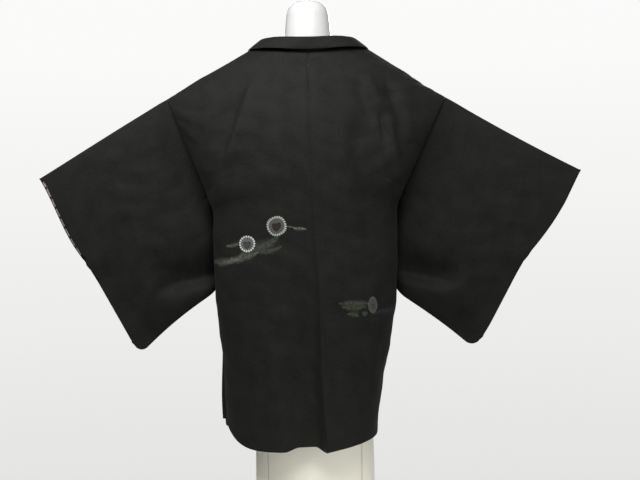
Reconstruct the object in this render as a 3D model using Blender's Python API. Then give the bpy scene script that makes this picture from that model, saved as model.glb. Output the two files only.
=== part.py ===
"""A haori jacket resting on a limbless dress form with a stand.

The jacket's back faces -Y and its open front faces +Y.  The origin is on the floor, under the middle of the
stand.  Every piece of cloth is a surface worked out from the sizes below, with a wall of WALL behind it.
In the functions a side's own x runs outwards from the middle of the body, and `sign` turns it to the world.
"""

from collections import namedtuple

import bmesh
import bpy
import numpy as np

# ---------------------------------------------------------------- cloth sizes
WALL = 0.0012
SEAM_GAP = 0.0003

# The line along the top of shoulders and sleeves: its height at the collar's edge, and how it falls outwards.
RIDGE_X = 0.133
RIDGE_HEIGHT = 1.368
RIDGE_SLOPE = 0.67
RIDGE_EASE = 0.179
NECK_EASE = 11.0

NECK_HALF_WIDTH = 0.086
NECK_SEAM_HEIGHT = 1.3535
NECK_SEAM_DEPTH = 0.083
UNDERARM_MIDDLE_HEIGHT = 1.115
FRONT_EDGE_HALF = 0.085
ROUNDNESS = 0.83
NECK_TURN = 50.0

# How far the front's inner edge swings out over the chest, and how soon it comes forward.
CHEST_SWING = 0.008
CHEST_POWER = 0.9

# The sleeve seam: its length on each side of the shoulder, how far it puffs out between its ends, and half the
# gap between back and front at the side.
ARMHOLE = 0.227
ARMHOLE_PUFF = 0.024
PUFF_POWER = 1.2
SIDE_DEPTH = 0.007

# One row for each side, seen from the back.  tip: the shoulder end of the sleeve seam.  arm: the underarm.
# cuff, corner: the sleeve's upper and lower outer corners.  hem_side, hem_power: the hem's height at the side
# and how it gets there.  arch: how far the top line rises.  bulge, cuff_skew, notch: the cuff's line curves
# out, and in where the opening ends.  lift: how far the sleeve's bottom rises towards the body.
Side = namedtuple(
    "Side",
    "name sign tip_x arm_x arm_z cuff_x corner_x corner_z hem_side hem_power arch bulge cuff_skew notch lift",
)
SIDES = (
    Side("left", -1.0, 0.304, 0.2205, 1.063, 0.582, 0.373, 0.722, 0.579, 7.0, 0.0135, 0.004, 1.6, 0.0, 0.0245),
    Side("right", 1.0, 0.293, 0.197, 1.063, 0.5815, 0.3475, 0.722, 0.555, 0.8, 0.0, 0.008, 1.1, 0.007, 0.022),
)
# Where the top line's arch starts and ends, and how far down the sleeve the notch reaches.
ARCH_START = 0.13
ARCH_END = 0.60
NOTCH_REACH = 0.15

# The middle of the back, from the hem to the neck: how far back the cloth stands and where its seam runs.
Middle = namedtuple("Middle", "height depth seam_x")
BACK_MIDDLE = (
    Middle(0.530, 0.152, 0.0255),
    Middle(0.660, 0.145, 0.0173),
    Middle(0.870, 0.136, 0.0128),
    Middle(0.980, 0.131, 0.0060),
    Middle(1.120, 0.134, 0.0030),
    Middle(1.200, 0.130, 0.0000),
    Middle(1.280, 0.112, 0.0000),
    Middle(1.3535, 0.083, 0.0000),
)

# The body below the arms: how far it reaches to each side, the front's depth and middle, and the angles
# at which the back and front panels end at the sides.
Level = namedtuple(
    "Level",
    "height back_left back_right front_left front_right front_depth front_middle"
    " turn_left turn_right front_turn_left front_turn_right",
)
LEVELS = (
    Level(0.530, 0.186, 0.1325, 0.197, 0.136, 0.172, -0.045, 88, 98, 86, 58),
    Level(0.620, 0.188, 0.141, 0.201, 0.145, 0.170, -0.036, 88, 96, 86, 64),
    Level(0.730, 0.194, 0.161, 0.197, 0.163, 0.167, -0.024, 89, 94, 87, 71),
    Level(0.830, 0.205, 0.178, 0.196, 0.169, 0.163, -0.010, 90, 92, 88, 76),
    Level(0.900, 0.209, 0.183, 0.195, 0.170, 0.160, 0.000, 90, 90, 88, 80),
    Level(0.980, 0.210, 0.185, 0.196, 0.171, 0.155, 0.000, 90, 90, 88, 84),
    Level(1.035, 0.211, 0.186, 0.198, 0.174, 0.150, 0.000, 90, 90, 88, 87),
    Level(1.063, 0.2205, 0.197, 0.2205, 0.197, 0.148, 0.000, 90, 90, 90, 90),
    Level(1.130, 0.2205, 0.197, 0.2205, 0.197, 0.142, 0.000, 90, 90, 90, 90),
)

# Hems at the middle, and the soft waves that grow down the front panels.
FRONT_HEM = 0.543
BACK_HEM = 0.533
FRONT_WAVES = 2.0
FRONT_WAVE_HEIGHT = 0.013
WAVE_TOP = 1.18
WAVE_GROWTH = 0.55

# The pleat beside the middle seam of the back: the left panel sinks in next to the seam, more towards the hem,
# and the seam itself stands a little proud.  The left panel's hem is drawn up where it sinks in.
PLEAT_DEPTH = 0.024
PLEAT_PLACE = 0.024
PLEAT_TOP = 1.24
PLEAT_POWER = 1.3
SEAM_PROUD = 0.004
SEAM_EASE_LEFT = 0.005
SEAM_EASE_RIGHT = 0.014
HEM_LIFT = 0.010
HEM_LIFT_WIDTH = 0.21
HEM_LIFT_START = 0.002
HEM_LIFT_RISE = 0.022
HEM_LIFT_END = 0.090
HEM_LIFT_FALL = 0.034

# Largest folds: on which layer, from where to where (world x and height), how wide to its left and right,
# and how far the cloth stands out of (or, below zero, sinks into) the plain surface.
Fold = namedtuple("Fold", "piece x0 z0 x1 z1 left right rise")
FOLDS = (
    Fold("body_back", -0.108, 1.306, -0.198, 1.040, 0.018, 0.045, 0.010),
    Fold("body_back", 0.100, 1.300, 0.149, 1.221, 0.016, 0.022, 0.008),
    Fold("body_back", 0.168, 1.318, 0.204, 1.179, 0.016, 0.035, 0.009),
    Fold("body_back", 0.164, 1.215, 0.186, 1.055, 0.018, 0.016, 0.008),
    Fold("body_back", 0.095, 1.200, 0.132, 0.940, 0.022, 0.045, -0.007),
    Fold("sleeve_left", -0.180, 0.904, -0.330, 0.868, 0.042, 0.028, -0.027),
    Fold("sleeve_left", -0.180, 0.800, -0.360, 0.735, 0.055, 0.090, -0.018),
    Fold("sleeve_right", 0.165, 0.903, 0.320, 0.868, 0.028, 0.042, -0.027),
    Fold("sleeve_right", 0.165, 0.800, 0.350, 0.735, 0.090, 0.060, -0.028),
)

# A fold fades in and out over FOLD_FADE of its length, from FOLD_OVERRUN beyond its ends.  Near a seam, within
# SEAM_CALM of the panel's width, folds and waves die away.
FOLD_OVERRUN = 0.15
FOLD_FADE = 0.35
SEAM_CALM = 0.2

# Sleeves, as flat cloth: width, drop, round lower corner.  Then half their thickness near the body and at the
# cuff, where the cuff is sewn shut below its opening, and how the armhole's shape blends into the sleeve's.
SLEEVE_WIDTH = 0.330
SLEEVE_DROP = 0.440
CORNER_RADIUS = 0.028
SLEEVE_PUFF = 0.016
CUFF_PUFF = 0.009
LENS_POWER = 3.0
SEWN_START = 0.72
SEWN_SPAN = 0.24
OPENING_CORNER = 0.012
OPENING_SPAN = 0.060
ARMHOLE_BLEND = 0.30
FREE_EDGE_HALF = 0.004
FREE_EDGE_CLOSE = 0.03

# Below the armhole the sleeve bends forwards round the body's side, starting WRAP_START beyond the underarm.
WRAP_START = 0.014
WRAP_RADIUS = 0.026
WRAP_MOST = 80.0
WRAP_EASE = 0.040
SLEEVE_FOLD_EASE = 0.06
SLEEVE_LOWER_ROWS = (0.10, 0.24, 0.40, 0.56, 0.70, 0.84, 0.96, 1.0)
SLEEVE_COLUMNS = (0.0, 0.018, 0.036, 0.052, 0.068, 0.085, 0.11, 0.145, 0.185, 0.225, 0.262, 0.29, 0.306, 0.318,
                  0.326, 0.330)

# Collar: how high the band stands before its fold, its whole width, the fold's radius and how far it turns.
COLLAR_STAND_MIDDLE = 0.0285
COLLAR_STAND_SIDE = 0.0195
COLLAR_WIDTH = 0.055
COLLAR_FOLD_RADIUS = 0.0015
COLLAR_TURN_MIDDLE = 165.0
COLLAR_TURN_SIDE = 82.0
COLLAR_TURN_CHEST = 36.0
LEAST_TURN = 1e-3
COLLAR_SWING_END = 60.0
COLLAR_OPEN_START = 12.0
COLLAR_OPEN_SPAN = 72.0
COLLAR_LEAN_END = 84.0
COLLAR_STEPS = 2
COLLAR_SEAM_GAP = 0.0006
COLLAR_UP_MIDDLE = (0.0, -0.22, 0.97)
COLLAR_UP_SIDE = (0.70, 0.0, 0.71)

# Gussets: how far their middle is tucked inwards, at the hem on each side and at the top.
GUSSET_TUCK_LEFT = 0.024
GUSSET_TUCK_RIGHT = 0.003
GUSSET_LEAST_TUCK = 0.004
GUSSET_POWER = 0.8

# Cuff facings: they follow the sleeve's last columns and the rows beside the opening.
FACING_WALL = 0.001
FACING_COLUMNS = 4
FACING_ROWS = slice(2, 7)
FACING_PROUD = 0.0015

# ---------------------------------------------------------------- form and stand sizes
Ring = namedtuple("Ring", "height half_width back front")
FORM_RINGS = (
    Ring(0.400, 0.127, 0.100, 0.100),
    Ring(0.480, 0.127, 0.101, 0.100),
    Ring(0.560, 0.126, 0.102, 0.101),
    Ring(0.650, 0.130, 0.106, 0.104),
    Ring(0.720, 0.140, 0.112, 0.108),
    Ring(0.800, 0.151, 0.116, 0.112),
    Ring(0.860, 0.149, 0.110, 0.110),
    Ring(0.930, 0.136, 0.094, 0.106),
    Ring(1.000, 0.128, 0.084, 0.104),
    Ring(1.080, 0.140, 0.092, 0.114),
    Ring(1.160, 0.156, 0.104, 0.124),
    Ring(1.230, 0.166, 0.104, 0.114),
    Ring(1.290, 0.174, 0.094, 0.098),
    Ring(1.3215, 0.172, 0.085, 0.086),
    Ring(1.3395, 0.162, 0.077, 0.077),
    Ring(1.3505, 0.147, 0.071, 0.068),
    Ring(1.3595, 0.126, 0.064, 0.062),
    Ring(1.3655, 0.106, 0.060, 0.058),
    Ring(1.3705, 0.082, 0.056, 0.056),
    Ring(1.377, 0.064, 0.054, 0.053),
    Ring(1.390, 0.053, 0.051, 0.050),
)
NECK_RINGS = (
    Ring(1.3903, 0.0500, 0.050, 0.050),
    Ring(1.412, 0.0490, 0.049, 0.049),
    Ring(1.435, 0.0470, 0.047, 0.047),
    Ring(1.455, 0.0440, 0.044, 0.044),
    Ring(1.466, 0.0380, 0.038, 0.038),
    Ring(1.473, 0.0280, 0.028, 0.028),
    Ring(1.477, 0.0150, 0.015, 0.015),
)
FORM_ROUNDNESS = 0.92
POLE_RADIUS = 0.016
BASE_RADIUS = 0.190
BASE_THICKNESS = 0.016
BASE_EDGE = 0.004
CLEARANCE = 0.0003

# Places down the sleeve seam, as turns from the shoulder to the underarm; one of them is NECK_TURN, where the
# neck meets the middle seam.  The sleeves and the collar share them, so the seams' edges run side by side.
SEAM_TURNS = (0.0, 12.5, 25.0, 37.5, 50.0, 63.0, 76.5, 90.0)
NECK_STATION = SEAM_TURNS.index(NECK_TURN)
ARM_ROWS = len(SEAM_TURNS) - 1
BACK_ROWS = 12
PANEL_COLUMNS = (0.0, 0.012, 0.035, 0.07, 0.12, 0.19, 0.27, 0.36, 0.46, 0.56, 0.66, 0.76, 0.86, 0.94, 1.0)
FORM_SIDES = 40
SHARP_ANGLE = 50.0

BLACK_CREPE = ((0.012, 0.012, 0.011), 0.75, 0.0)
PALE_LINING = ((0.62, 0.52, 0.48), 0.6, 0.0)
CREAM_JERSEY = ((0.72, 0.68, 0.60), 0.8, 0.0)
WHITE_GLOSS = ((0.80, 0.80, 0.79), 0.25, 0.0)
STEEL = ((0.55, 0.55, 0.56), 0.3, 1.0)
WHITE_PAINT = ((0.75, 0.75, 0.74), 0.35, 0.0)


# ---------------------------------------------------------------- small helpers
def smooth(value):
    """0 below 0, 1 above 1, and an even curve between them."""
    value = np.clip(value, 0.0, 1.0)
    return value * value * (3.0 - 2.0 * value)


def power(value, exponent):
    """A power that keeps the value's sign."""
    return np.sign(value) * np.abs(value) ** exponent


def column(table, name, heights):
    """A table's column read at any heights, on a smooth curve through its rows."""
    places = np.array([row.height for row in table])
    values = np.array([getattr(row, name) for row in table], float)
    slopes = np.gradient(values, places)
    heights = np.clip(heights, places[0], places[-1])
    low = np.clip(np.searchsorted(places, heights, side="right") - 1, 0, len(places) - 2)
    span = places[low + 1] - places[low]
    part = (heights - places[low]) / span
    rise = values[low + 1] - values[low]
    start, end = slopes[low] * span, slopes[low + 1] * span
    bend = start * (1.0 - part) + end * -part + rise * (2.0 * part - 1.0)
    return values[low] + rise * part + part * (1.0 - part) * bend


def unit(vectors):
    """Vectors scaled to length 1."""
    return vectors / np.maximum(np.linalg.norm(vectors, axis=-1, keepdims=True), 1e-12)


def ridge_height(side, x):
    """Height of the top line at x from the middle: it eases off outwards and flattens at the neck."""
    out = np.maximum(x - RIDGE_X, 0.0)
    inner = np.maximum(RIDGE_X - x, 0.0)
    fall = RIDGE_SLOPE * out - RIDGE_EASE * out**2
    arch = side.arch * np.sin(np.pi * np.clip((x - ARCH_START) / (ARCH_END - ARCH_START), 0.0, 1.0))
    return RIDGE_HEIGHT - fall + RIDGE_SLOPE * inner - NECK_EASE * inner**2 + arch


def fold_rise(piece, x, z):
    """How far a piece's folds stand out at world x and height z."""
    total = np.zeros(np.broadcast(x, z).shape)
    for fold in FOLDS:
        if fold.piece != piece:
            continue
        along = np.array([fold.x1 - fold.x0, fold.z1 - fold.z0])
        length = np.hypot(*along)
        along = along / length
        run = ((x - fold.x0) * along[0] + (z - fold.z0) * along[1]) / length
        off = -(x - fold.x0) * along[1] + (z - fold.z0) * along[0]
        width = np.where(off < 0.0, fold.left, fold.right)
        ends = smooth((run + FOLD_OVERRUN) / FOLD_FADE) * smooth((1.0 + FOLD_OVERRUN - run) / FOLD_FADE)
        total += fold.rise * np.exp(-((off / width) ** 2)) * ends
    return total


def inward_of(surface, inside, ring=False):
    """Unit directions square to a grid surface, turned to the side where `inside` lies."""
    if ring:
        down = np.roll(surface, -1, axis=0) - np.roll(surface, 1, axis=0)
    else:
        down = np.gradient(surface, axis=0)
    across = np.gradient(surface, axis=1)
    normal = unit(np.cross(down, across))
    toward = np.sum(normal * (inside - surface)) > 0.0
    return normal if toward else -normal


# ---------------------------------------------------------------- building meshes
def add_object(name, points, faces, finish):
    """A closed mesh object with outward faces, smooth shading and its own material."""
    mesh = bpy.data.meshes.new(name)
    mesh.from_pydata([tuple(point) for point in points], [], faces)
    body = bmesh.new()
    body.from_mesh(mesh)
    bmesh.ops.recalc_face_normals(body, faces=body.faces)
    body.to_mesh(mesh)
    body.free()
    mesh.shade_smooth()
    mesh.set_sharp_from_angle(angle=np.radians(SHARP_ANGLE))
    obj = bpy.data.objects.new(name, mesh)
    bpy.context.collection.objects.link(obj)
    mesh.materials.append(material_of(name, finish))
    return obj


def material_of(name, finish):
    """A material from a finish's colour, roughness and metallic value."""
    colour, roughness, metallic = finish
    material = bpy.data.materials.new(name)
    material.use_nodes = True
    shader = material.node_tree.nodes["Principled BSDF"]
    shader.inputs["Base Color"].default_value = (*colour, 1.0)
    shader.inputs["Roughness"].default_value = roughness
    shader.inputs["Metallic"].default_value = metallic
    return material


def cloth_wall(name, outer, inward, finish, ring=False, wall=WALL):
    """A wall between the grid `outer` and the same grid moved inwards, closed all round its edges.

    Both sides are cut into triangles along the same diagonals, so the wall keeps its thickness.
    """
    rows, columns = outer.shape[:2]
    points = np.concatenate([outer.reshape(-1, 3), (outer + wall * inward).reshape(-1, 3)])
    inner = rows * columns
    faces = []
    for row in range(rows if ring else rows - 1):
        below = (row + 1) % rows
        for col in range(columns - 1):
            a, b = row * columns + col, row * columns + col + 1
            c, d = below * columns + col + 1, below * columns + col
            for face in ((a, b, c), (a, c, d)):
                faces.append(face)
                faces.append(tuple(corner + inner for corner in reversed(face)))
        for col in (0, columns - 1):
            a, d = row * columns + col, below * columns + col
            faces.append((a, d, d + inner, a + inner))
    if not ring:
        for row in (0, rows - 1):
            for col in range(columns - 1):
                a = row * columns + col
                faces.append((a, a + 1, a + 1 + inner, a + inner))
    return add_object(name, points, faces, finish)


def between(rows, steps):
    """Rows with `steps` - 1 more put evenly, on straight lines, between each two."""
    places = np.linspace(0.0, len(rows) - 1.0, (len(rows) - 1) * steps + 1)
    low = np.minimum(places.astype(int), len(rows) - 2)
    part = (places - low).reshape((-1,) + (1,) * (rows.ndim - 1))
    return rows[low] * (1.0 - part) + rows[low + 1] * part


def to_world(points, side):
    """From a side's own x to the world's."""
    return points * np.array([side.sign, 1.0, 1.0])


# ---------------------------------------------------------------- body panels
def armhole_puff(angle):
    """How far the sleeve seam stands out from the middle plane, from the shoulder (0) to the underarm."""
    return ARMHOLE_PUFF * np.clip(np.sin(2.0 * angle), 0.0, 1.0) ** PUFF_POWER + SIDE_DEPTH * np.sin(angle)


def armhole(side, turn, layer):
    """The sleeve seam from the shoulder (turn 0) to the underarm (turn 90), and its inward directions.

    Across the seam it is a long lens: its height falls with the cosine of the turn and it puffs out between.
    """
    angle = np.radians(turn)
    fall = 1.0 - np.cos(angle)
    tip_z = ridge_height(side, side.tip_x)
    x = side.tip_x + (side.arm_x - side.tip_x) * fall
    z = tip_z + (side.arm_z - tip_z) * fall
    line = np.stack([x, layer * armhole_puff(angle), z], axis=-1)
    run = np.gradient(line, axis=0)
    plane = unit(np.array([side.arm_x - side.tip_x, 0.0, side.arm_z - tip_z]))
    drop, out = run @ plane, run[..., 1]
    inward = unit(drop[..., None] * np.array([0.0, -layer, 0.0]) + layer * out[..., None] * plane)
    return line, inward


def back_inner(side, turn):
    """The back panel's inner edge: round the neck up to NECK_TURN, then down the middle seam."""
    part = np.radians(90.0) * np.clip(turn / NECK_TURN, 0.0, 1.0)
    side_z = ridge_height(side, NECK_HALF_WIDTH)
    down = (np.cos(np.radians(NECK_TURN)) - np.cos(np.radians(turn))) / np.cos(np.radians(NECK_TURN))
    z = NECK_SEAM_HEIGHT + (UNDERARM_MIDDLE_HEIGHT - NECK_SEAM_HEIGHT) * np.clip(down, 0.0, 1.0)
    middle_x = side.sign * column(BACK_MIDDLE, "seam_x", z) + SEAM_GAP / 2
    at_neck = turn < NECK_TURN
    neck_x = NECK_HALF_WIDTH * np.cos(part) + SEAM_GAP / 2
    neck_z = side_z + (NECK_SEAM_HEIGHT - side_z) * np.sin(part) ** 2
    x = np.where(at_neck, neck_x, middle_x)
    y = np.where(at_neck, -NECK_SEAM_DEPTH * np.sin(part), -column(BACK_MIDDLE, "depth", z))
    return np.stack([x, y, np.where(at_neck, neck_z, z)], axis=-1)


def front_inner(side, turn):
    """The front panel's inner edge above the underarm: from the neck's side over the chest."""
    angle = np.radians(turn)
    side_z = ridge_height(side, NECK_HALF_WIDTH)
    depth = float(column(LEVELS, "front_depth", UNDERARM_MIDDLE_HEIGHT))
    z = side_z + (UNDERARM_MIDDLE_HEIGHT - side_z) * (1.0 - np.cos(angle))
    x = NECK_HALF_WIDTH + (FRONT_EDGE_HALF - NECK_HALF_WIDTH) * np.sin(angle)
    x = x + CHEST_SWING * np.sin(2.0 * angle)
    return np.stack([x, depth * edge_share(side) * np.sin(angle) ** CHEST_POWER, z], axis=-1)


def edge_share(side):
    """How deep the front edge stands at the underarm, as a share of the front's full depth."""
    reach = side.arm_x
    sine = (FRONT_EDGE_HALF / reach) ** (1.0 / ROUNDNESS)
    depth = float(column(LEVELS, "front_depth", UNDERARM_MIDDLE_HEIGHT))
    return (SIDE_DEPTH + (depth - SIDE_DEPTH) * np.sqrt(1.0 - sine**2) ** ROUNDNESS) / depth


def upper_rows(side, turns, across, layer):
    """The panel over the shoulder: each row runs from its inner edge to the sleeve seam as a quarter round.

    Sideways it goes with the sine of `across` and in depth with its cosine.  Its height follows the top line
    near the shoulder and falls with the sine squared near the underarm.
    """
    turn = turns[:, None]
    inner = (back_inner if layer < 0 else front_inner)(side, turn)
    outer, _ = armhole(side, turns, layer)
    outer = outer[:, None, :]
    angle = np.radians(90.0 * across)[None, :]
    if layer > 0:
        start = np.arcsin((FRONT_EDGE_HALF / side.arm_x) ** (1.0 / ROUNDNESS)) * np.sin(np.radians(turn)) ** 2
        angle = start + (np.radians(90.0) - start) * across[None, :]
        sine = np.sin(angle) ** ROUNDNESS
        first = np.sin(start) ** ROUNDNESS
        out = (sine - first) / (1.0 - first)
        cosine = np.cos(angle) ** ROUNDNESS / np.cos(start) ** ROUNDNESS
    else:
        out = np.sin(angle) ** ROUNDNESS * np.ones_like(turn)
        cosine = np.cos(angle) ** ROUNDNESS * np.ones_like(turn)
    x = inner[..., 0] + (outer[..., 0] - inner[..., 0]) * out
    y = outer[..., 1] + (inner[..., 1] - outer[..., 1]) * cosine
    neck_z, tip_z = ridge_height(side, NECK_HALF_WIDTH), ridge_height(side, side.tip_x)
    top_x = NECK_HALF_WIDTH + (side.tip_x - NECK_HALF_WIDTH) * out
    by_ridge = (ridge_height(side, top_x) - neck_z) / (tip_z - neck_z)
    by_ring = np.sin(angle) ** 2
    share = 1.0 - np.cos(np.radians(turn))
    fall = by_ridge * (1.0 - share) + by_ring * share
    z = inner[..., 2] + (outer[..., 2] - inner[..., 2]) * fall
    return np.stack([x, y, z], axis=-1)


def ring_point(side, height, across, layer):
    """A point of the body below the arms, `across` from the inner edge (0) to the side (1)."""
    if layer < 0:
        reach = column(LEVELS, "back_" + side.name, height)
        middle = side.sign * column(BACK_MIDDLE, "seam_x", height)
        angle = np.radians(column(LEVELS, "turn_" + side.name, height)) * across
        near, far = column(BACK_MIDDLE, "depth", height), column(LEVELS, "front_depth", height)
    else:
        reach = column(LEVELS, "front_" + side.name, height)
        middle = side.sign * column(LEVELS, "front_middle", height)
        first = np.arcsin((FRONT_EDGE_HALF / (reach - middle)) ** (1.0 / ROUNDNESS))
        last = np.radians(column(LEVELS, "front_turn_" + side.name, height))
        angle = first + (last - first) * across
        near, far = column(LEVELS, "front_depth", height), column(BACK_MIDDLE, "depth", height)
    x = middle + (reach - middle) * power(np.sin(angle), ROUNDNESS)
    cosine = power(np.cos(angle), ROUNDNESS)
    y = layer * (SIDE_DEPTH + np.where(cosine > 0.0, near - SIDE_DEPTH, far + SIDE_DEPTH) * cosine)
    if layer < 0:
        x = x + SEAM_GAP / 2 * (1.0 - across)
    return np.stack([x, y, height], axis=-1)


def hem_height(side, across, layer):
    """The hem dips at the middle of the back and rises to the side seam."""
    middle = BACK_HEM if layer < 0 else FRONT_HEM
    hem = middle + (side.hem_side - middle) * np.sin(np.radians(90.0) * across) ** side.hem_power
    if layer < 0 and side.sign < 0:
        out = HEM_LIFT_WIDTH * np.sin(np.radians(90.0) * across) ** ROUNDNESS
        lift = smooth((out - HEM_LIFT_START) / HEM_LIFT_RISE) * smooth((HEM_LIFT_END - out) / HEM_LIFT_FALL)
        hem = hem + HEM_LIFT * lift
    return hem


def lower_rows(side, parts, across, layer):
    """The panel from the hem (part 0) to the underarm (part 1)."""
    across = across[None, :]
    parts = parts[:, None]
    if layer < 0:
        fall = np.sin(np.radians(90.0) * across) ** 2
    else:
        start = np.arcsin((FRONT_EDGE_HALF / side.arm_x) ** (1.0 / ROUNDNESS))
        fall = np.sin(start + (np.radians(90.0) - start) * across) ** 2
    top = UNDERARM_MIDDLE_HEIGHT + (side.arm_z - UNDERARM_MIDDLE_HEIGHT) * fall
    hem = hem_height(side, across, layer)
    return ring_point(side, hem + (top - hem) * parts, across, layer)


def add_body_folds(side, points, across, layer):
    """Moves the points out and in along the surface's own directions: folds, the back pleat, front waves."""
    outward = -inward_of(points, points * np.array([0.0, 0.0, 1.0]))
    height = points[..., 2]
    calm = smooth(across / SEAM_CALM) * smooth((1.0 - across) / SEAM_CALM)
    if layer < 0:
        rise = fold_rise("body_back", side.sign * points[..., 0], height)
        rise = rise * calm[None, :]
        from_seam = points[..., 0] - points[:, :1, 0]
        growth = np.clip((PLEAT_TOP - height) / (PLEAT_TOP - BACK_HEM), 0.0, 1.0) ** PLEAT_POWER
        ease = SEAM_EASE_LEFT if side.sign < 0 else SEAM_EASE_RIGHT
        rise = rise + SEAM_PROUD * growth * np.exp(-from_seam / ease)
        if side.sign < 0:
            share = from_seam / PLEAT_PLACE
            rise = rise - PLEAT_DEPTH * growth * share * np.exp(1.0 - share)
    else:
        growth = smooth((WAVE_TOP - height) / WAVE_GROWTH)
        wave = np.sin(np.radians(360.0) * FRONT_WAVES * across) * calm
        rise = FRONT_WAVE_HEIGHT * growth * wave[None, :]
    return points + rise[..., None] * outward


def body_panel(side):
    """One side's strip: up the back, over the shoulder and down the front, as a grid and its directions."""
    across = np.array(PANEL_COLUMNS)
    parts = np.linspace(0.0, 1.0, BACK_ROWS + 1)
    turns = np.array(SEAM_TURNS[::-1])
    layers = []
    for layer in (-1.0, 1.0):
        low = lower_rows(side, parts, across, layer)
        high = upper_rows(side, turns, across, layer)
        points = np.concatenate([low, high[1:]])
        layers.append(add_body_folds(side, points, across, layer))
    back, front = layers
    grid = np.concatenate([back, front[::-1][1:]])
    inward = inward_of(grid, grid * np.array([0.0, 0.0, 1.0]))
    shoulder = BACK_ROWS + ARM_ROWS
    inward[BACK_ROWS : shoulder + 1, -1] = armhole(side, turns, -1.0)[1]
    inward[shoulder : shoulder + ARM_ROWS + 1, -1] = armhole(side, turns[::-1], 1.0)[1]
    seam_rows = slice(0, shoulder - NECK_STATION + 1)
    inward[seam_rows, 0] = unit(inward[seam_rows, 0] * np.array([0.0, 1.0, 1.0]))
    return grid, inward


def build_body(side):
    """One body panel, parted along its shoulder fold into a back and a front that lie side by side.

    The panel's directions are handed back, because the gusset's edges share them.
    """
    grid, inward = body_panel(side)
    shoulder = BACK_ROWS + ARM_ROWS
    inward[shoulder] = unit(inward[shoulder] * np.array([1.0, 0.0, 1.0]))
    halves = (("_back", slice(None, shoulder + 1), -1.0), ("_front", slice(shoulder, None), 1.0))
    for label, rows, layer in halves:
        half = grid[rows].copy()
        half[-1 if layer < 0 else 0, :, 1] = layer * SEAM_GAP / 2
        cloth_wall("body_" + side.name + label, to_world(half, side), to_world(inward[rows], side), BLACK_CREPE)
    return inward


# ---------------------------------------------------------------- gussets
def build_gusset(side, panel_inward):
    """A strip between the side edges of back and front, folded inwards along its middle."""
    parts = np.linspace(0.0, 1.0, BACK_ROWS + 1)[:-1]
    height = side.hem_side + (side.arm_z - side.hem_side) * parts
    back = ring_point(side, height, 1.0, -1.0)
    front = ring_point(side, height, 1.0, 1.0)
    toward = unit(front - back)
    back, front = back + SEAM_GAP * toward, front - SEAM_GAP * toward
    most = GUSSET_TUCK_LEFT if side.sign < 0 else GUSSET_TUCK_RIGHT
    tuck = most * (1.0 - parts)[:, None] ** GUSSET_POWER + GUSSET_LEAST_TUCK
    valley = (back + front) / 2 - tuck * np.array([1.0, 0.0, 0.0])
    share = (0.0, 0.5, 1.0)
    left = [back + (valley - back) * part for part in share]
    right = [valley + (front - valley) * part for part in share[1:]]
    grid = np.stack(left + right, axis=1)
    inward = inward_of(grid, grid * np.array([0.0, 1.0, 1.0]))
    inward[:, 0] = panel_inward[: len(parts), -1]
    inward[:, -1] = panel_inward[::-1][: len(parts), -1]
    cloth_wall("gusset_" + side.name, to_world(grid, side), to_world(inward, side), BLACK_CREPE)


# ---------------------------------------------------------------- sleeves
def sleeve_length(across):
    """How far down the cloth reaches at each place along the sleeve: full, but for its round lower corner."""
    into = np.clip(across * SLEEVE_WIDTH - (SLEEVE_WIDTH - CORNER_RADIUS), 0.0, CORNER_RADIUS)
    return SLEEVE_DROP - (CORNER_RADIUS - np.sqrt(CORNER_RADIUS**2 - into**2))


def sleeve_plane(side, across, drop):
    """Where a point of the flat sleeve hangs, as the side's own x and its height."""
    top_x = side.tip_x + (side.cuff_x - side.tip_x) * across + SEAM_GAP
    cuff_z = ridge_height(side, side.cuff_x)
    near_x = (side.arm_x - side.tip_x) * SLEEVE_DROP / ARMHOLE
    near_z = (side.arm_z - ridge_height(side, side.tip_x)) * SLEEVE_DROP / ARMHOLE
    fall_x = near_x + (side.corner_x - side.cuff_x - near_x) * across
    fall_z = near_z + (side.corner_z - cuff_z - near_z) * across
    lift = side.lift * (1.0 - across**3) * smooth((drop - ARMHOLE) / (SLEEVE_DROP - ARMHOLE))
    part = (drop - lift) / SLEEVE_DROP
    bulge = side.bulge * np.sin(np.pi * np.clip(drop / ARMHOLE, 0.0, 1.0) ** side.cuff_skew)
    bulge = bulge - side.notch * np.clip(1.0 - np.abs(drop - ARMHOLE) / NOTCH_REACH, 0.0, 1.0)
    bulge = bulge * across**3
    return top_x + fall_x * part + bulge, ridge_height(side, top_x) + fall_z * part - 0.5 * bulge


def sleeve_half(side, across, drop):
    """Half the sleeve's thickness: the armhole's lens at the body, its own flatter lens further out."""
    length = sleeve_length(across)
    ratio = np.clip(drop / length, 0.0, 1.0)
    lens = np.sqrt(1.0 - np.abs(2.0 * ratio - 1.0) ** LENS_POWER)
    own = (SLEEVE_PUFF + (CUFF_PUFF - SLEEVE_PUFF) * smooth(across)) * lens
    below_opening = smooth((drop - ARMHOLE + OPENING_CORNER) / OPENING_SPAN)
    own = own * (1.0 - smooth((across - SEWN_START) / SEWN_SPAN) * below_opening)
    puff = armhole_puff(np.arccos(np.clip(1.0 - drop / ARMHOLE, 0.0, 1.0)))
    free = FREE_EDGE_HALF * np.sqrt(np.clip((length - drop) / FREE_EDGE_CLOSE, 0.0, 1.0))
    edge = np.where(drop < ARMHOLE, puff, free)
    near = np.clip(1.0 - across / ARMHOLE_BLEND, 0.0, 1.0) ** 2
    half = np.maximum(own + (edge - own) * near, WALL + SEAM_GAP)
    at_end = (drop <= 0.0) | (drop >= length)
    return np.where(at_end, 0.0, half)


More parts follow.
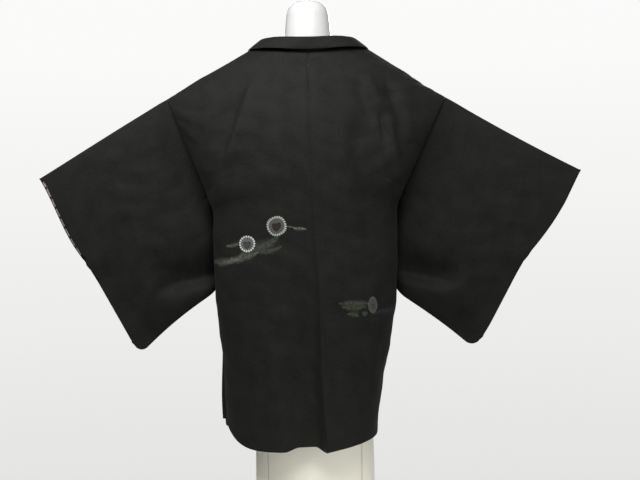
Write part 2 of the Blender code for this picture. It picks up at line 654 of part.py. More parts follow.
def sleeve_point(side, across, drop, layer):
    """A point of the sleeve's outer surface.

    Below the armhole the part nearest the body bends forwards round its side: it follows an arc of WRAP_RADIUS
    up to WRAP_MOST and then runs on straight.
    """
    flat_x, z = sleeve_plane(side, across, drop)
    x = flat_x + SEAM_GAP * (1.0 - across)
    bend_x = side.arm_x + WRAP_START
    past = np.maximum(bend_x - x, 0.0)
    angle = np.minimum(past / WRAP_RADIUS, np.radians(WRAP_MOST))
    rest = past - WRAP_RADIUS * angle
    bent_x = bend_x - WRAP_RADIUS * np.sin(angle) - rest * np.cos(angle)
    bent_y = WRAP_RADIUS * (1.0 - np.cos(angle)) + rest * np.sin(angle)
    loose = smooth((drop - ARMHOLE) / WRAP_EASE)
    x = x + (np.where(past > 0.0, bent_x, x) - x) * loose
    y = bent_y * loose
    angle = angle * loose
    rise = fold_rise("sleeve_" + side.name, side.sign * flat_x, z)
    y = y - rise * smooth((drop - ARMHOLE) / SLEEVE_FOLD_EASE)
    half = sleeve_half(side, across, drop) * layer
    return np.stack([x + half * np.sin(angle), y + half * np.cos(angle), z], axis=-1)


def sleeve_drops(across):
    """Places down the sleeve, for each place along it: closer together at the top fold and at the bottom."""
    upper = (ARMHOLE * (1.0 - np.cos(np.radians(SEAM_TURNS))))[:, None] * np.ones_like(across)[None, :]
    lower = np.array(SLEEVE_LOWER_ROWS)[:, None]
    lower = ARMHOLE + (sleeve_length(across)[None, :] - ARMHOLE) * lower
    return np.concatenate([upper, lower])


def build_sleeve(side):
    """A sleeve: a tube of cloth, flat but for its puff, open at the armhole, the cuff and the free inner edge."""
    across = np.array(SLEEVE_COLUMNS) / SLEEVE_WIDTH
    drops = sleeve_drops(across)
    back = sleeve_point(side, across[None, :], drops, -1.0)
    front = sleeve_point(side, across[None, :], drops, 1.0)
    grid = np.concatenate([back[::-1], front[1:-1]])
    middle = (back + front) / 2
    inside = np.concatenate([middle[::-1], middle[1:-1]])
    inward = inward_of(grid, inside, ring=True)
    last = len(drops) - 1
    for layer in (-1.0, 1.0):
        _, seam = armhole(side, np.array(SEAM_TURNS), layer)
        rows = last - np.arange(ARM_ROWS + 1) if layer < 0 else last + np.arange(ARM_ROWS + 1)
        inward[rows, 0] = seam
    cloth_wall("sleeve_" + side.name, to_world(grid, side), to_world(inward, side), BLACK_CREPE, ring=True)


def build_cuff_facing(side, layer, label):
    """A narrow strip inside one layer of the cuff opening, a little proud of its edge."""
    across = np.array(SLEEVE_COLUMNS[-FACING_COLUMNS:])
    across[-1] += FACING_PROUD
    across = across / SLEEVE_WIDTH
    drops = sleeve_drops(across)[FACING_ROWS]
    outer = sleeve_point(side, across[None, :], drops, layer)
    other = sleeve_point(side, across[None, :], drops, -layer)
    inward = inward_of(outer, other)
    outer = outer + (WALL + SEAM_GAP) * inward
    name = "cuff_facing_" + side.name + "_" + label
    cloth_wall(name, to_world(outer, side), to_world(inward, side), PALE_LINING, wall=FACING_WALL)


# ---------------------------------------------------------------- collar
def collar_side(side):
    """One half of the collar, from the middle of the neck to the front hem, as rows across its width.

    At each place on the panel's edge the band first runs `stand` along its own upward direction, then turns
    by `turn` round a small radius, and runs on to its full width.  The turn goes from COLLAR_TURN_MIDDLE
    behind the neck to nothing on the chest, where the band lies flat and goes on from the panel.
    """
    turns = np.array(SEAM_TURNS)
    neck_turns = between(turns[NECK_STATION::-1], COLLAR_STEPS)
    chest_turns = between(turns, COLLAR_STEPS)[1:]
    parts = np.linspace(1.0, 0.0, BACK_ROWS + 1)[1:]
    neck = between(back_inner(side, turns[NECK_STATION::-1]), COLLAR_STEPS)
    neck[0, 0] = 0.0
    chest = between(front_inner(side, turns), COLLAR_STEPS)[1:]
    hem = hem_height(side, 0.0, 1.0)
    low = ring_point(side, hem + (UNDERARM_MIDDLE_HEIGHT - hem) * parts, 0.0, 1.0)
    line = np.concatenate([neck, chest, low])
    edge_columns = np.array(PANEL_COLUMNS[:2])
    chest_rows = upper_rows(side, chest_turns, edge_columns, 1.0)
    low_rows = lower_rows(side, parts, edge_columns, 1.0)
    flat = unit(np.concatenate([chest_rows[:, 0] - chest_rows[:, 1], low_rows[:, 0] - low_rows[:, 1]]))
    round_neck = np.sin(np.radians(90.0) * (1.0 - neck_turns / NECK_TURN)) ** 2
    stand_up = np.array(COLLAR_UP_MIDDLE) + round_neck[:, None] * (
        np.array(COLLAR_UP_SIDE) - np.array(COLLAR_UP_MIDDLE)
    )
    ease = np.concatenate([np.clip(chest_turns / COLLAR_SWING_END, 0.0, 1.0), np.ones(len(parts))])[:, None]
    side_up = unit(np.array(COLLAR_UP_SIDE))
    spread = np.arccos(np.clip(flat @ side_up, -1.0, 1.0))[:, None]
    swung = (np.sin((1.0 - ease) * spread) * side_up + np.sin(ease * spread) * flat) / np.sin(spread)
    up = np.concatenate([stand_up, swung])
    run = np.gradient(line, axis=0)
    run[0] = (1.0, 0.0, 0.0)
    run = unit(run)
    up = unit(up - np.sum(up * run, axis=-1, keepdims=True) * run)
    out = np.cross(run, up)
    open_out = 1.0 - smooth((chest_turns - COLLAR_OPEN_START) / COLLAR_OPEN_SPAN)
    lean_back = np.sin(np.pi * np.clip(chest_turns / COLLAR_LEAN_END, 0.0, 1.0))
    turn = LEAST_TURN + np.radians(
        np.concatenate([
            COLLAR_TURN_MIDDLE + (COLLAR_TURN_SIDE - COLLAR_TURN_MIDDLE) * round_neck,
            COLLAR_TURN_SIDE * open_out + COLLAR_TURN_CHEST * lean_back,
            np.zeros(len(parts)),
        ])
    )
    stand = np.full(len(line), COLLAR_STAND_SIDE)
    stand[: len(neck_turns)] += (COLLAR_STAND_MIDDLE - COLLAR_STAND_SIDE) * (1.0 - round_neck)
    arc = COLLAR_FOLD_RADIUS * np.radians(COLLAR_TURN_MIDDLE)
    leaf = COLLAR_WIDTH - stand - arc
    along = [COLLAR_SEAM_GAP + 0.0 * stand, 0.5 * stand, stand]
    aside = [0.0 * stand] * 3
    radius = arc / turn
    for part in (0.5, 1.0):
        along.append(stand + radius * np.sin(turn * part))
        aside.append(radius * (1.0 - np.cos(turn * part)))
    for part in (0.5, 1.0):
        along.append(along[4] + leaf * part * np.cos(turn))
        aside.append(aside[4] + leaf * part * np.sin(turn))
    rows = [line + a[:, None] * up + b[:, None] * out for a, b in zip(along, aside)]
    grid = np.stack(rows, axis=1)
    return grid, out


def build_collar():
    """The collar band, from one front hem round the neck to the other."""
    halves = []
    for side in SIDES:
        grid, out = collar_side(side)
        halves.append((to_world(grid, side), to_world(out, side)))
    (left, left_out), (right, right_out) = halves
    grid = np.concatenate([left[::-1], right[1:]])
    out = np.concatenate([left_out[::-1], right_out[1:]])
    inward = inward_of(grid, grid - 0.01 * out[:, None, :])
    flip = np.sign(np.sum(inward[:, 1] * -out, axis=-1))
    cloth_wall("collar", grid, inward * flip[:, None, None], BLACK_CREPE)


# ---------------------------------------------------------------- dress form and stand
def turned_body(name, rings, finish, exponent=1.0):
    """A closed solid through level rings, each rounded by `exponent` and flat at both ends."""
    angle = np.linspace(0.0, 2.0 * np.pi, FORM_SIDES, endpoint=False)
    sine, cosine = np.sin(angle), np.cos(angle)
    points = []
    for ring in rings:
        depth = np.where(cosine > 0.0, ring.front, ring.back)
        x = ring.half_width * power(sine, exponent)
        y = depth * power(cosine, exponent)
        points.append(np.stack([x, y, np.full_like(x, ring.height)], axis=-1))
    points = np.concatenate(points)
    faces = []
    for row in range(len(rings) - 1):
        for col in range(FORM_SIDES):
            right = (col + 1) % FORM_SIDES
            low, high = row * FORM_SIDES, (row + 1) * FORM_SIDES
            faces.append((low + col, low + right, high + right, high + col))
    faces.append(tuple(range(FORM_SIDES)))
    top = (len(rings) - 1) * FORM_SIDES
    faces.append(tuple(range(top, top + FORM_SIDES)))
    return add_object(name, points, faces, finish)


def build_form_and_stand():
    """The form's trunk and neck cap, and the pole and round base that they stand on."""
    turned_body("form_torso", FORM_RINGS, CREAM_JERSEY, FORM_ROUNDNESS)
    turned_body("form_neck", NECK_RINGS, WHITE_GLOSS)
    pole_top = FORM_RINGS[0].height - CLEARANCE
    pole = [Ring(z, POLE_RADIUS, POLE_RADIUS, POLE_RADIUS) for z in (BASE_THICKNESS + CLEARANCE, pole_top)]
    turned_body("stand_pole", pole, STEEL)
    inner = BASE_RADIUS - BASE_EDGE
    profile = ((0.0, inner), (BASE_EDGE, BASE_RADIUS), (BASE_THICKNESS - BASE_EDGE, BASE_RADIUS),
               (BASE_THICKNESS, inner))
    turned_body("stand_base", [Ring(z, radius, radius, radius) for z, radius in profile], WHITE_PAINT)


def main():
    """Clears the scene and builds every piece."""
    for obj in list(bpy.data.objects):
        bpy.data.objects.remove(obj)
    for side in SIDES:
        panel_inward = build_body(side)
        build_gusset(side, panel_inward)
        build_sleeve(side)
        build_cuff_facing(side, -1.0, "back")
        build_cuff_facing(side, 1.0, "front")
    build_collar()
    build_form_and_stand()


main()
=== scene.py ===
"""Looks of a haori jacket on a limbless dress form: crepe cloth, painted motif, form, stand and studio.

The jacket's back faces -Y and its open front faces +Y.  Lengths are in metres and turns in degrees.  Each
side's own x runs outwards from the middle of the body, and its `sign` turns it to the world.
"""

import logging
from collections.abc import Sequence
from dataclasses import dataclass, field
from enum import Enum

import bpy
import numpy as np
from mathutils import Matrix
from numpy.typing import NDArray


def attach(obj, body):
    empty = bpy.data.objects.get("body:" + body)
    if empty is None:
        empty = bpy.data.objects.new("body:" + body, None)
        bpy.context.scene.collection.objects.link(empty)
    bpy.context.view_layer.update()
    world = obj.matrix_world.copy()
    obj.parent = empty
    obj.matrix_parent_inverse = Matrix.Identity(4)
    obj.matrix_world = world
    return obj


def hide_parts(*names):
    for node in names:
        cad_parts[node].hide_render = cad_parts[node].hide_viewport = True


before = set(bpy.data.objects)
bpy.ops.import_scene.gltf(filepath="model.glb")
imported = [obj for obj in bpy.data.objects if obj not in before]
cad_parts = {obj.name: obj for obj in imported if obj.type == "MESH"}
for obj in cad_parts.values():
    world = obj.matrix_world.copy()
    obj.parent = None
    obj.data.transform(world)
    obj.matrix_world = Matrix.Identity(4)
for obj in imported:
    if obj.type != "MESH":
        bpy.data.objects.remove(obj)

Array = NDArray[np.float64]
Triple = tuple[float, float, float]
Finish = bpy.types.Material
Piece = bpy.types.Object
LOG = logging.getLogger("haori")
BODY = "root"
QUARTER = np.pi / 2
FULL = 2.0 * np.pi
EDGE_PLACES = (0.0, 0.0007, 0.0016, 0.0028, 0.0046, 0.0075)
SHARP_EDGE = 50.0
NOISE_RANGE = (0.3, 0.7)
NOISE_ROUGHNESS = 0.55


# ---------------------------------------------------------------- curves and directions
def smooth(value: Array) -> Array:
    """0 below 0, 1 above 1, and an even curve between them."""
    value = np.clip(value, 0.0, 1.0)
    return value * value * (3.0 - 2.0 * value)


def power(value: Array, exponent: float) -> Array:
    """A power that keeps the value's sign."""
    return np.sign(value) * np.abs(value) ** exponent


def unit(vectors: Array) -> Array:
    """Vectors scaled to length 1."""
    return vectors / np.maximum(np.linalg.norm(vectors, axis=-1, keepdims=True), 1e-12)


def full_turn(count: int) -> Array:
    """Even angles round a full turn, in radians."""
    return np.linspace(0.0, FULL, count, endpoint=False)


def graded(length: float, step: float, near: Sequence[float]) -> Array:
    """Shares from 0 to 1 along a length, closer together at both ends.

    Args:
        length: The length that the shares divide.
        step: The distance between places away from the ends.
        near: Distances from each end at which places lie, rising; the even steps start at the last.

    Returns:
        The rising shares.
    """
    count = max(2, round((length - 2.0 * near[-1]) / step))
    ends = np.array(near[:-1])
    middle = np.linspace(near[-1], length - near[-1], count + 1)
    return np.concatenate([ends, middle, length - ends[::-1]]) / length


def normals_of(surface: Array, inside: Array, ring: bool = False) -> Array:
    """Unit directions square to a grid surface, turned to the side where `inside` lies.

    Args:
        surface: Grid of points, rows by columns by 3.
        inside: Points on the inner side, of a shape that fits the grid.
        ring: True where the last row joins the first.

    Returns:
        The cross product of the two runs of the grid, at each point.
    """
    down = np.gradient(surface, axis=0)
    if ring:
        down = np.roll(surface, -1, axis=0) - np.roll(surface, 1, axis=0)
    normal = unit(np.cross(down, np.gradient(surface, axis=1)))
    return normal if np.sum(normal * (inside - surface)) > 0.0 else -normal


def run_lengths(grid: Array, axis: int) -> Array:
    """Distance along the grid from its first row (axis 0) or first column (axis 1)."""
    steps = np.linalg.norm(np.diff(grid, axis=axis), axis=-1)
    pad = [(1, 0), (0, 0)] if axis == 0 else [(0, 0), (1, 0)]
    return np.cumsum(np.pad(steps, pad), axis=axis)


@dataclass(frozen=True)
class Table:
    """Rows of named values at rising heights; the first name is the height."""

    names: tuple[str, ...]
    rows: tuple[tuple[float, ...], ...]

    def at(self, name: str, heights: Array) -> Array:
        """Reads a column at any heights, on a cubic between each two rows that keeps the rows' slopes.

        Args:
            name: The column.
            heights: Where to read it; heights outside the table read its first or last row.

        Returns:
            The values, in the shape of `heights`.
        """
        table = np.array(self.rows)
        places, values = table[:, 0], table[:, self.names.index(name)]
        slopes = np.gradient(values, places)
        heights = np.clip(heights, places[0], places[-1])
        low = np.clip(np.searchsorted(places, heights, side="right") - 1, 0, len(places) - 2)
        span = places[low + 1] - places[low]
        part = (heights - places[low]) / span
        rise = values[low + 1] - values[low]
        bend = slopes[low] * span * (1.0 - part) - slopes[low + 1] * span * part + rise * (2.0 * part - 1.0)
        return values[low] + rise * part + part * (1.0 - part) * bend


# ---------------------------------------------------------------- the jacket's sides, layers and folds
class Layer(Enum):
    """A layer of cloth and the way it faces along Y."""

    BACK = -1.0
    FRONT = 1.0


@dataclass(frozen=True)
class Side:
    """One side of the jacket.

    tip: the shoulder end of the sleeve seam.  arm: the underarm.  cuff, corner: the sleeve's upper and lower
    outer corners.  hem: the hem's height at the side and how it gets there.  arch: the top line's rise.
    bulge, cuff_skew, notch: the cuff's line curves out, and in where its opening ends.  lift: how far the
    sleeve's bottom rises towards the body.  tuck: how deep the gusset folds in at the hem.  proud: how far
    the cuff's facings reach past its edge.  lap: how much shorter the cuff's back layer is.
    """

    name: str
    sign: float
    tip_x: float
    arm_x: float
    cuff_x: float
    corner_x: float
    hem_side: float
    hem_power: float
    arch: float
    bulge: float
    cuff_skew: float
    notch: float
    lift: float
    tuck: float
    lap: float
    proud: float = -0.0020
    arm_z: float = 1.063
    corner_z: float = 0.722

    def to_world(self, *grids: Array) -> list[Array]:
        """From the side's own x to the world's."""
        return [grid * np.array([self.sign, 1.0, 1.0]) for grid in grids]


LEFT = Side(
    "left", -1.0, tip_x=0.304, arm_x=0.2205, cuff_x=0.582, corner_x=0.373, hem_side=0.579, hem_power=7.0,
    arch=0.0135, bulge=0.0085, cuff_skew=1.6, notch=0.0, lift=0.0245, tuck=0.024, lap=0.0072,
)
RIGHT = Side(
    "right", 1.0, tip_x=0.293, arm_x=0.197, cuff_x=0.5815, corner_x=0.3475, hem_side=0.555, hem_power=0.8,
    arch=0.0, bulge=0.008, cuff_skew=1.1, notch=0.007, lift=0.022, tuck=0.003, lap=0.0022,
)


@dataclass(frozen=True)
class Fold:
    """A fold from one place to another, in world x and height, with its width on each side and its rise."""

    x0: float
    z0: float
    x1: float
    z1: float
    left: float
    right: float
    rise: float
    overrun: float = 0.15
    fade: float = 0.35

    def lift(self, x: Array, z: Array) -> Array:
        """How far the fold stands out: a bell across it that fades in and out along it.

        Args:
            x: World x.
            z: Heights.

        Returns:
            The rise at each place.
        """
        along = np.array([self.x1 - self.x0, self.z1 - self.z0])
        length = np.hypot(*along)
        along = along / length
        run = ((x - self.x0) * along[0] + (z - self.z0) * along[1]) / length
        off = -(x - self.x0) * along[1] + (z - self.z0) * along[0]
        width = np.where(off < 0.0, self.left, self.right)
        ends = smooth((run + self.overrun) / self.fade) * smooth((1.0 + self.overrun - run) / self.fade)
        return self.rise * np.exp(-((off / width) ** 2)) * ends


@dataclass(frozen=True)
class Ripples:
    """The low waves of resting cloth: sines of several lengths and headings, bent by one slow sine."""

    waves: tuple[Triple, ...] = (
        (0.151, 22.0, 0.0011),
        (0.093, 71.0, 0.0008),
        (0.064, 118.0, 0.00045),
        (0.041, 84.0, 0.00028),
        (0.023, 97.0, 0.00010),
    )
    bend: float = 0.024
    bend_length: float = 0.27

    def lift(self, across: Array, along: Array, start: float) -> Array:
        """How far the cloth stands out: the sum of waves of a length, a heading and a height.

        Args:
            across: Cloth coordinates across the cloth.
            along: Cloth coordinates along it.
            start: Shifts the waves from piece to piece.

        Returns:
            The rise at each place.
        """
        swing = self.bend * np.sin(FULL * along / self.bend_length + start)
        sway = self.bend * np.sin(FULL * across / self.bend_length + 2.0 * start)
        total = np.zeros(np.broadcast(across, along).shape)
        for number, (length, heading, height) in enumerate(self.waves, start=1):
            turn = np.radians(heading)
            run = (across + swing) * np.cos(turn) + (along + sway) * np.sin(turn)
            total += height * np.sin(FULL * run / length + start * number)
        return total


# ---------------------------------------------------------------- the cut of the body
@dataclass(frozen=True)
class BodyShape:
    """The shape of one side of the jacket, which its panel, gusset, sleeve and half of the collar share."""

    side: Side
    wall: float = 0.0012
    seam_gap: float = 0.0003
    middle_gap: float = 0.0001
    ridge_x: float = 0.133
    ridge_top: float = 1.368
    ridge_slope: float = 0.67
    ridge_ease: float = 0.179
    neck_ease: float = 11.0
    arch_start: float = 0.13
    arch_end: float = 0.60
    neck_half: float = 0.086
    neck_seam_z: float = 1.3535
    neck_seam_depth: float = 0.083
    neck_turn: float = 50.0
    row_ease: float = 14.0
    row_ease_inner: float = 0.08
    row_ease_outer: float = 0.20
    row_places: int = 9
    underarm_z: float = 1.115
    front_edge: float = 0.085
    roundness: float = 0.83
    chest_swing: float = 0.008
    chest_power: float = 0.9
    armhole_drop: float = 0.227
    armhole_puff: float = 0.024
    puff_power: float = 1.2
    side_depth: float = 0.007
    back_hem: float = 0.533
    front_hem: float = 0.543
    rows_below: int = 118
    hem_rows: tuple[float, ...] = (0.0, 0.0015, 0.004, 0.009)
    hem_lift: float = 0.010
    hem_lift_width: float = 0.21
    hem_lift_start: float = 0.002
    hem_lift_rise: float = 0.022
    hem_lift_end: float = 0.090
    hem_lift_fall: float = 0.034
    rows_neck: int = 56
    rows_arm: int = 60
    front_every: int = 3
    middle: Table = Table(
        ("height", "depth", "seam_x"),
        (
            (0.530, 0.152, 0.0255),
            (0.660, 0.145, 0.0173),
            (0.870, 0.136, 0.0128),
            (0.980, 0.131, 0.0060),
            (1.120, 0.134, 0.0030),
            (1.200, 0.130, 0.0000),
            (1.280, 0.112, 0.0000),
            (1.3535, 0.083, 0.0000),
        ),
    )
    levels: Table = Table(
        ("height", "back_left", "back_right", "front_left", "front_right", "front_depth", "front_middle",
         "back_turn_left", "back_turn_right", "front_turn_left", "front_turn_right"),
        (
            (0.530, 0.186, 0.1325, 0.197, 0.136, 0.172, -0.045, 88, 98, 86, 58),
            (0.620, 0.188, 0.141, 0.201, 0.145, 0.170, -0.036, 88, 96, 86, 64),
            (0.730, 0.194, 0.161, 0.197, 0.163, 0.167, -0.024, 89, 94, 87, 71),
            (0.830, 0.205, 0.178, 0.196, 0.169, 0.163, -0.010, 90, 92, 88, 76),
            (0.900, 0.209, 0.183, 0.195, 0.170, 0.160, 0.000, 90, 90, 88, 80),
            (0.980, 0.210, 0.185, 0.196, 0.171, 0.155, 0.000, 90, 90, 88, 84),
            (1.035, 0.211, 0.186, 0.198, 0.174, 0.150, 0.000, 90, 90, 88, 87),
            (1.063, 0.2205, 0.197, 0.2205, 0.197, 0.148, 0.000, 90, 90, 90, 90),
            (1.130, 0.2205, 0.197, 0.2205, 0.197, 0.142, 0.000, 90, 90, 90, 90),
        ),
    )  # fmt: skip

    def turns(self) -> Array:
        """Places down the sleeve seam as turns from the shoulder (0) to the underarm (90)."""
        neck = np.linspace(0.0, self.neck_turn, self.rows_neck)
        return np.concatenate([neck, np.linspace(self.neck_turn, 90.0, self.rows_arm)[1:]])

    def parts(self) -> Array:
        """Places up the body as shares from the hem (0) to the underarm (1)."""
        return graded(1.0, 1.0 / self.rows_below, self.hem_rows)

    def ridge(self, x: Array) -> Array:
        """The top line: it falls with x, easing off outwards, and flattens at the neck.

        Args:
            x: Distances from the middle of the body.

        Returns:
            The line's heights.
        """
        out = np.maximum(x - self.ridge_x, 0.0)
        inner = np.maximum(self.ridge_x - x, 0.0)
        share = np.clip((x - self.arch_start) / (self.arch_end - self.arch_start), 0.0, 1.0)
        fall = self.ridge_slope * (out - inner) - self.ridge_ease * out**2 + self.neck_ease * inner**2
        return self.ridge_top - fall + self.side.arch * np.sin(np.pi * share)

    def puff(self, angle: Array) -> Array:
        """How far the sleeve seam stands out: a sine of twice the turn, and the side's depth."""
        lens = np.clip(np.sin(2.0 * angle), 0.0, 1.0) ** self.puff_power
        return self.armhole_puff * lens + self.side_depth * np.sin(angle)

    def armhole(self, turn: Array, layer: Layer) -> tuple[Array, Array]:
        """The sleeve seam: its height falls with the cosine of the turn, and it puffs out between its ends.

        Args:
            turn: Places along the seam.
            layer: Back or front.

        Returns:
            The seam's points, and its inward directions in the seam's own slanting plane.
        """
        side, angle = self.side, np.radians(turn)
        fall = 1.0 - np.cos(angle)
        tip_z = self.ridge(side.tip_x)
        x = side.tip_x + (side.arm_x - side.tip_x) * fall
        z = tip_z + (side.arm_z - tip_z) * fall
        line = np.stack([x, layer.value * self.puff(angle), z], axis=-1)
        run = np.gradient(line, axis=0)
        plane = unit(np.array([side.arm_x - side.tip_x, 0.0, side.arm_z - tip_z]))
        aside = (run @ plane)[..., None] * np.array([0.0, -layer.value, 0.0])
        return line, unit(aside + layer.value * run[..., 1:2] * plane)

    def back_inner(self, turn: Array) -> Array:
        """The back's inner edge: a quarter round along the neck, then down the middle seam.

        Args:
            turn: Places down the sleeve seam, as turns from the shoulder.

        Returns:
            The edge's points.
        """
        part = QUARTER * np.clip(turn / self.neck_turn, 0.0, 1.0)
        least = np.cos(np.radians(self.neck_turn))
        down = np.clip((least - np.cos(np.radians(turn))) / least, 0.0, 1.0)
        z = self.neck_seam_z + (self.underarm_z - self.neck_seam_z) * down
        at_neck = turn < self.neck_turn
        seam_x = self.side.sign * self.middle.at("seam_x", z)
        x = np.where(at_neck, self.neck_half * np.cos(part), seam_x) + self.middle_gap / 2
        depth = np.where(at_neck, self.neck_seam_depth * np.sin(part), self.middle.at("depth", z))
        side_z = self.ridge(self.neck_half)
        neck_z = side_z + (self.neck_seam_z - side_z) * np.sin(part) ** 2
        return np.stack([x, -depth, np.where(at_neck, neck_z, z)], axis=-1)

    def front_start(self, reach: Array) -> Array:
        """The angle at which the front's rounded rows start, `front_edge` from the middle."""
        return np.arcsin((self.front_edge / reach) ** (1.0 / self.roundness))

    def first_angle(self, layer: Layer) -> float:
        """The angle at which a layer's rows start at the underarm."""
        return 0.0 if layer is Layer.BACK else float(self.front_start(self.side.arm_x))

    def front_inner(self, turn: Array) -> Array:
        """The front's inner edge over the chest: its depth goes with a power of the sine.

        Args:
            turn: Places down the sleeve seam, as turns from the shoulder.

        Returns:
            The edge's points.
        """
        angle = np.radians(turn)
        full = float(self.levels.at("front_depth", self.underarm_z)) - self.side_depth
        depth = self.side_depth + full * np.cos(self.first_angle(Layer.FRONT)) ** self.roundness
        side_z = self.ridge(self.neck_half)
        z = side_z + (self.underarm_z - side_z) * (1.0 - np.cos(angle))
        x = self.neck_half + (self.front_edge - self.neck_half) * np.sin(angle)
        x = x + self.chest_swing * np.sin(2.0 * angle)
        return np.stack([x, depth * np.sin(angle) ** self.chest_power, z], axis=-1)

    def upper(self, turns: Array, across: Array, layer: Layer) -> Array:
        """The panel over the shoulder.  Away from its edges the back's rows are means of their neighbours,
        which rounds the line where the neck ends.

        Args:
            turns: The rows, as turns down the sleeve seam.
            across: The columns, from the inner edge (0) to the seam (1).
            layer: Back or front.

        Returns:
            The grid of points.
        """
        plain = self.shoulder(turns, across, layer)
        if layer is Layer.FRONT:
            return plain
        room = np.minimum(self.row_ease, np.minimum(turns, 90.0 - turns))
        shifts = np.linspace(-1.0, 1.0, self.row_places)
        rows = [self.shoulder(turns + shift * room, across, layer) for shift in shifts]
        inside = smooth(across / self.row_ease_inner) * smooth((1.0 - across) / self.row_ease_outer)
        return plain + (np.mean(rows, axis=0) - plain) * inside[None, :, None]

    def shoulder(self, turns: Array, across: Array, layer: Layer) -> Array:
        """Rows over the shoulder: each is a quarter round from its inner edge to the sleeve seam.

        Sideways it goes with the sine of `across` and in depth with the cosine, both to a power.  Its height
        follows the top line near the shoulder and the sine squared near the underarm.

        Args:
            turns: The rows, as turns down the sleeve seam.
            across: The columns, from the inner edge (0) to the seam (1).
            layer: Back or front.

        Returns:
            The grid of points.
        """
        turn = turns[:, None]
        inner = self.back_inner(turn) if layer is Layer.BACK else self.front_inner(turn)
        outer = self.armhole(turns, layer)[0][:, None, :]
        start = self.first_angle(layer) * np.sin(np.radians(turn)) ** 2
        angle = start + (QUARTER - start) * across[None, :]
        first = np.sin(start) ** self.roundness
        out = (np.sin(angle) ** self.roundness - first) / (1.0 - first)
        cosine = np.clip(np.cos(angle), 0.0, 1.0) ** self.roundness / np.cos(start) ** self.roundness
        x = inner[..., 0] + (outer[..., 0] - inner[..., 0]) * out
        y = outer[..., 1] + (inner[..., 1] - outer[..., 1]) * cosine
        tip_x = self.side.tip_x
        neck_z, tip_z = self.ridge(self.neck_half), self.ridge(tip_x)
        by_ridge = (self.ridge(self.neck_half + (tip_x - self.neck_half) * out) - neck_z) / (tip_z - neck_z)
        share = 1.0 - np.cos(np.radians(turn))
        fall = by_ridge * (1.0 - share) + np.sin(angle) ** 2 * share
        return np.stack([x, y, inner[..., 2] + (outer[..., 2] - inner[..., 2]) * fall], axis=-1)

    def ring(self, height: Array, across: Array, layer: Layer) -> Array:
        """Points below the arms, on rounded rings: a power of the sine sideways and of the cosine in depth.

        Args:
            height: The rings' heights.
            across: Places from the inner edge (0) to the side (1).
            layer: Back or front.

        Returns:
            The points.
        """
        back, label = layer is Layer.BACK, layer.name.lower() + "_"
        reach = self.levels.at(label + self.side.name, height)
        seam_x = self.middle.at("seam_x", height) if back else self.levels.at("front_middle", height)
        middle = self.side.sign * seam_x
        first = 0.0 if back else self.front_start(reach - middle)
        last = np.radians(self.levels.at(label + "turn_" + self.side.name, height))
        angle = first + (last - first) * across
        depths = self.middle.at("depth", height), self.levels.at("front_depth", height)
        near, far = depths if back else depths[::-1]
        gap = self.middle_gap / 2 * (1.0 - across) * back
        x = middle + (reach - middle) * power(np.sin(angle), self.roundness) + gap
        cosine = power(np.cos(angle), self.roundness)
        own = np.where(cosine > 0.0, near - self.side_depth, far + self.side_depth)
        return np.stack([x, layer.value * (self.side_depth + own * cosine), height], axis=-1)

    def hem(self, across: Array, layer: Layer) -> Array:
        """The hem: it rises from the middle to the side seam, and is drawn up near the left's pleat.

        Args:
            across: Places from the inner edge (0) to the side (1).
            layer: Back or front.

        Returns:
            The hem's heights.
        """
        middle = self.back_hem if layer is Layer.BACK else self.front_hem
        hem = middle + (self.side.hem_side - middle) * np.sin(QUARTER * across) ** self.side.hem_power
        if layer is Layer.BACK and self.side is LEFT:
            out = self.hem_lift_width * np.sin(QUARTER * across) ** self.roundness
            start = smooth((out - self.hem_lift_start) / self.hem_lift_rise)
            hem = hem + self.hem_lift * start * smooth((self.hem_lift_end - out) / self.hem_lift_fall)
        return hem

    def lower(self, parts: Array, across: Array, layer: Layer) -> Array:
        """The panel below the arms: rings between the hem and the underarm.

        Args:
            parts: The rows, from the hem (0) to the underarm (1).
            across: The columns, from the inner edge (0) to the side (1).
            layer: Back or front.

        Returns:
            The grid of points.
        """
        start = self.first_angle(layer)
        across = across[None, :]
        fall = np.sin(start + (QUARTER - start) * across) ** 2
        top = self.underarm_z + (self.side.arm_z - self.underarm_z) * fall
        hem = self.hem(across, layer)
        return self.ring(hem + (top - hem) * parts[:, None], across, layer)


# ---------------------------------------------------------------- meshes
def add_mesh(name: str, points: Array, faces: list[list[int]]) -> Piece:
    """Makes and links an object that is shaded smooth but for its sharp edges.

    Args:
        name: The piece's name.
        points: Its points, one a row.
        faces: The numbers of each face's points.

    Returns:
        The new object.
    """
    mesh = bpy.data.meshes.new(name)
    mesh.from_pydata(points.tolist(), [], faces)
    mesh.shade_smooth()
    mesh.set_sharp_from_angle(angle=np.radians(SHARP_EDGE))
    piece = bpy.data.objects.new(name, mesh)
    bpy.context.collection.objects.link(piece)
    return piece


def closed_loft(name: str, rings: Array) -> Piece:
    """A closed mesh through level rings of points, with a flat cap at each end.

    Args:
        name: The piece's name.
        rings: Rings by points by 3, from the lowest ring up, each turning from +Y towards +X.

    Returns:
        The new object.
    """
    index = np.arange(rings[..., 0].size).reshape(rings.shape[:2])
    right = np.roll(index, -1, axis=1)
    quads = np.stack([index[:-1], index[1:], right[1:], right[:-1]], axis=-1).reshape(-1, 4)
    caps = [index[0].tolist(), index[-1, ::-1].tolist()]
    return add_mesh(name, rings.reshape(-1, 3), quads.tolist() + caps)


def declare(piece: Piece, slot: str, *solids: str) -> Piece:
    """Ties a piece to the part's one body.

    Args:
        piece: The piece.
        slot: Its finish's slot; not used.
        solids: The solids that it stands for.

    Returns:
        The same piece.
    """
    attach(piece, BODY)
    if solids:
        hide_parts(*solids)
    return piece


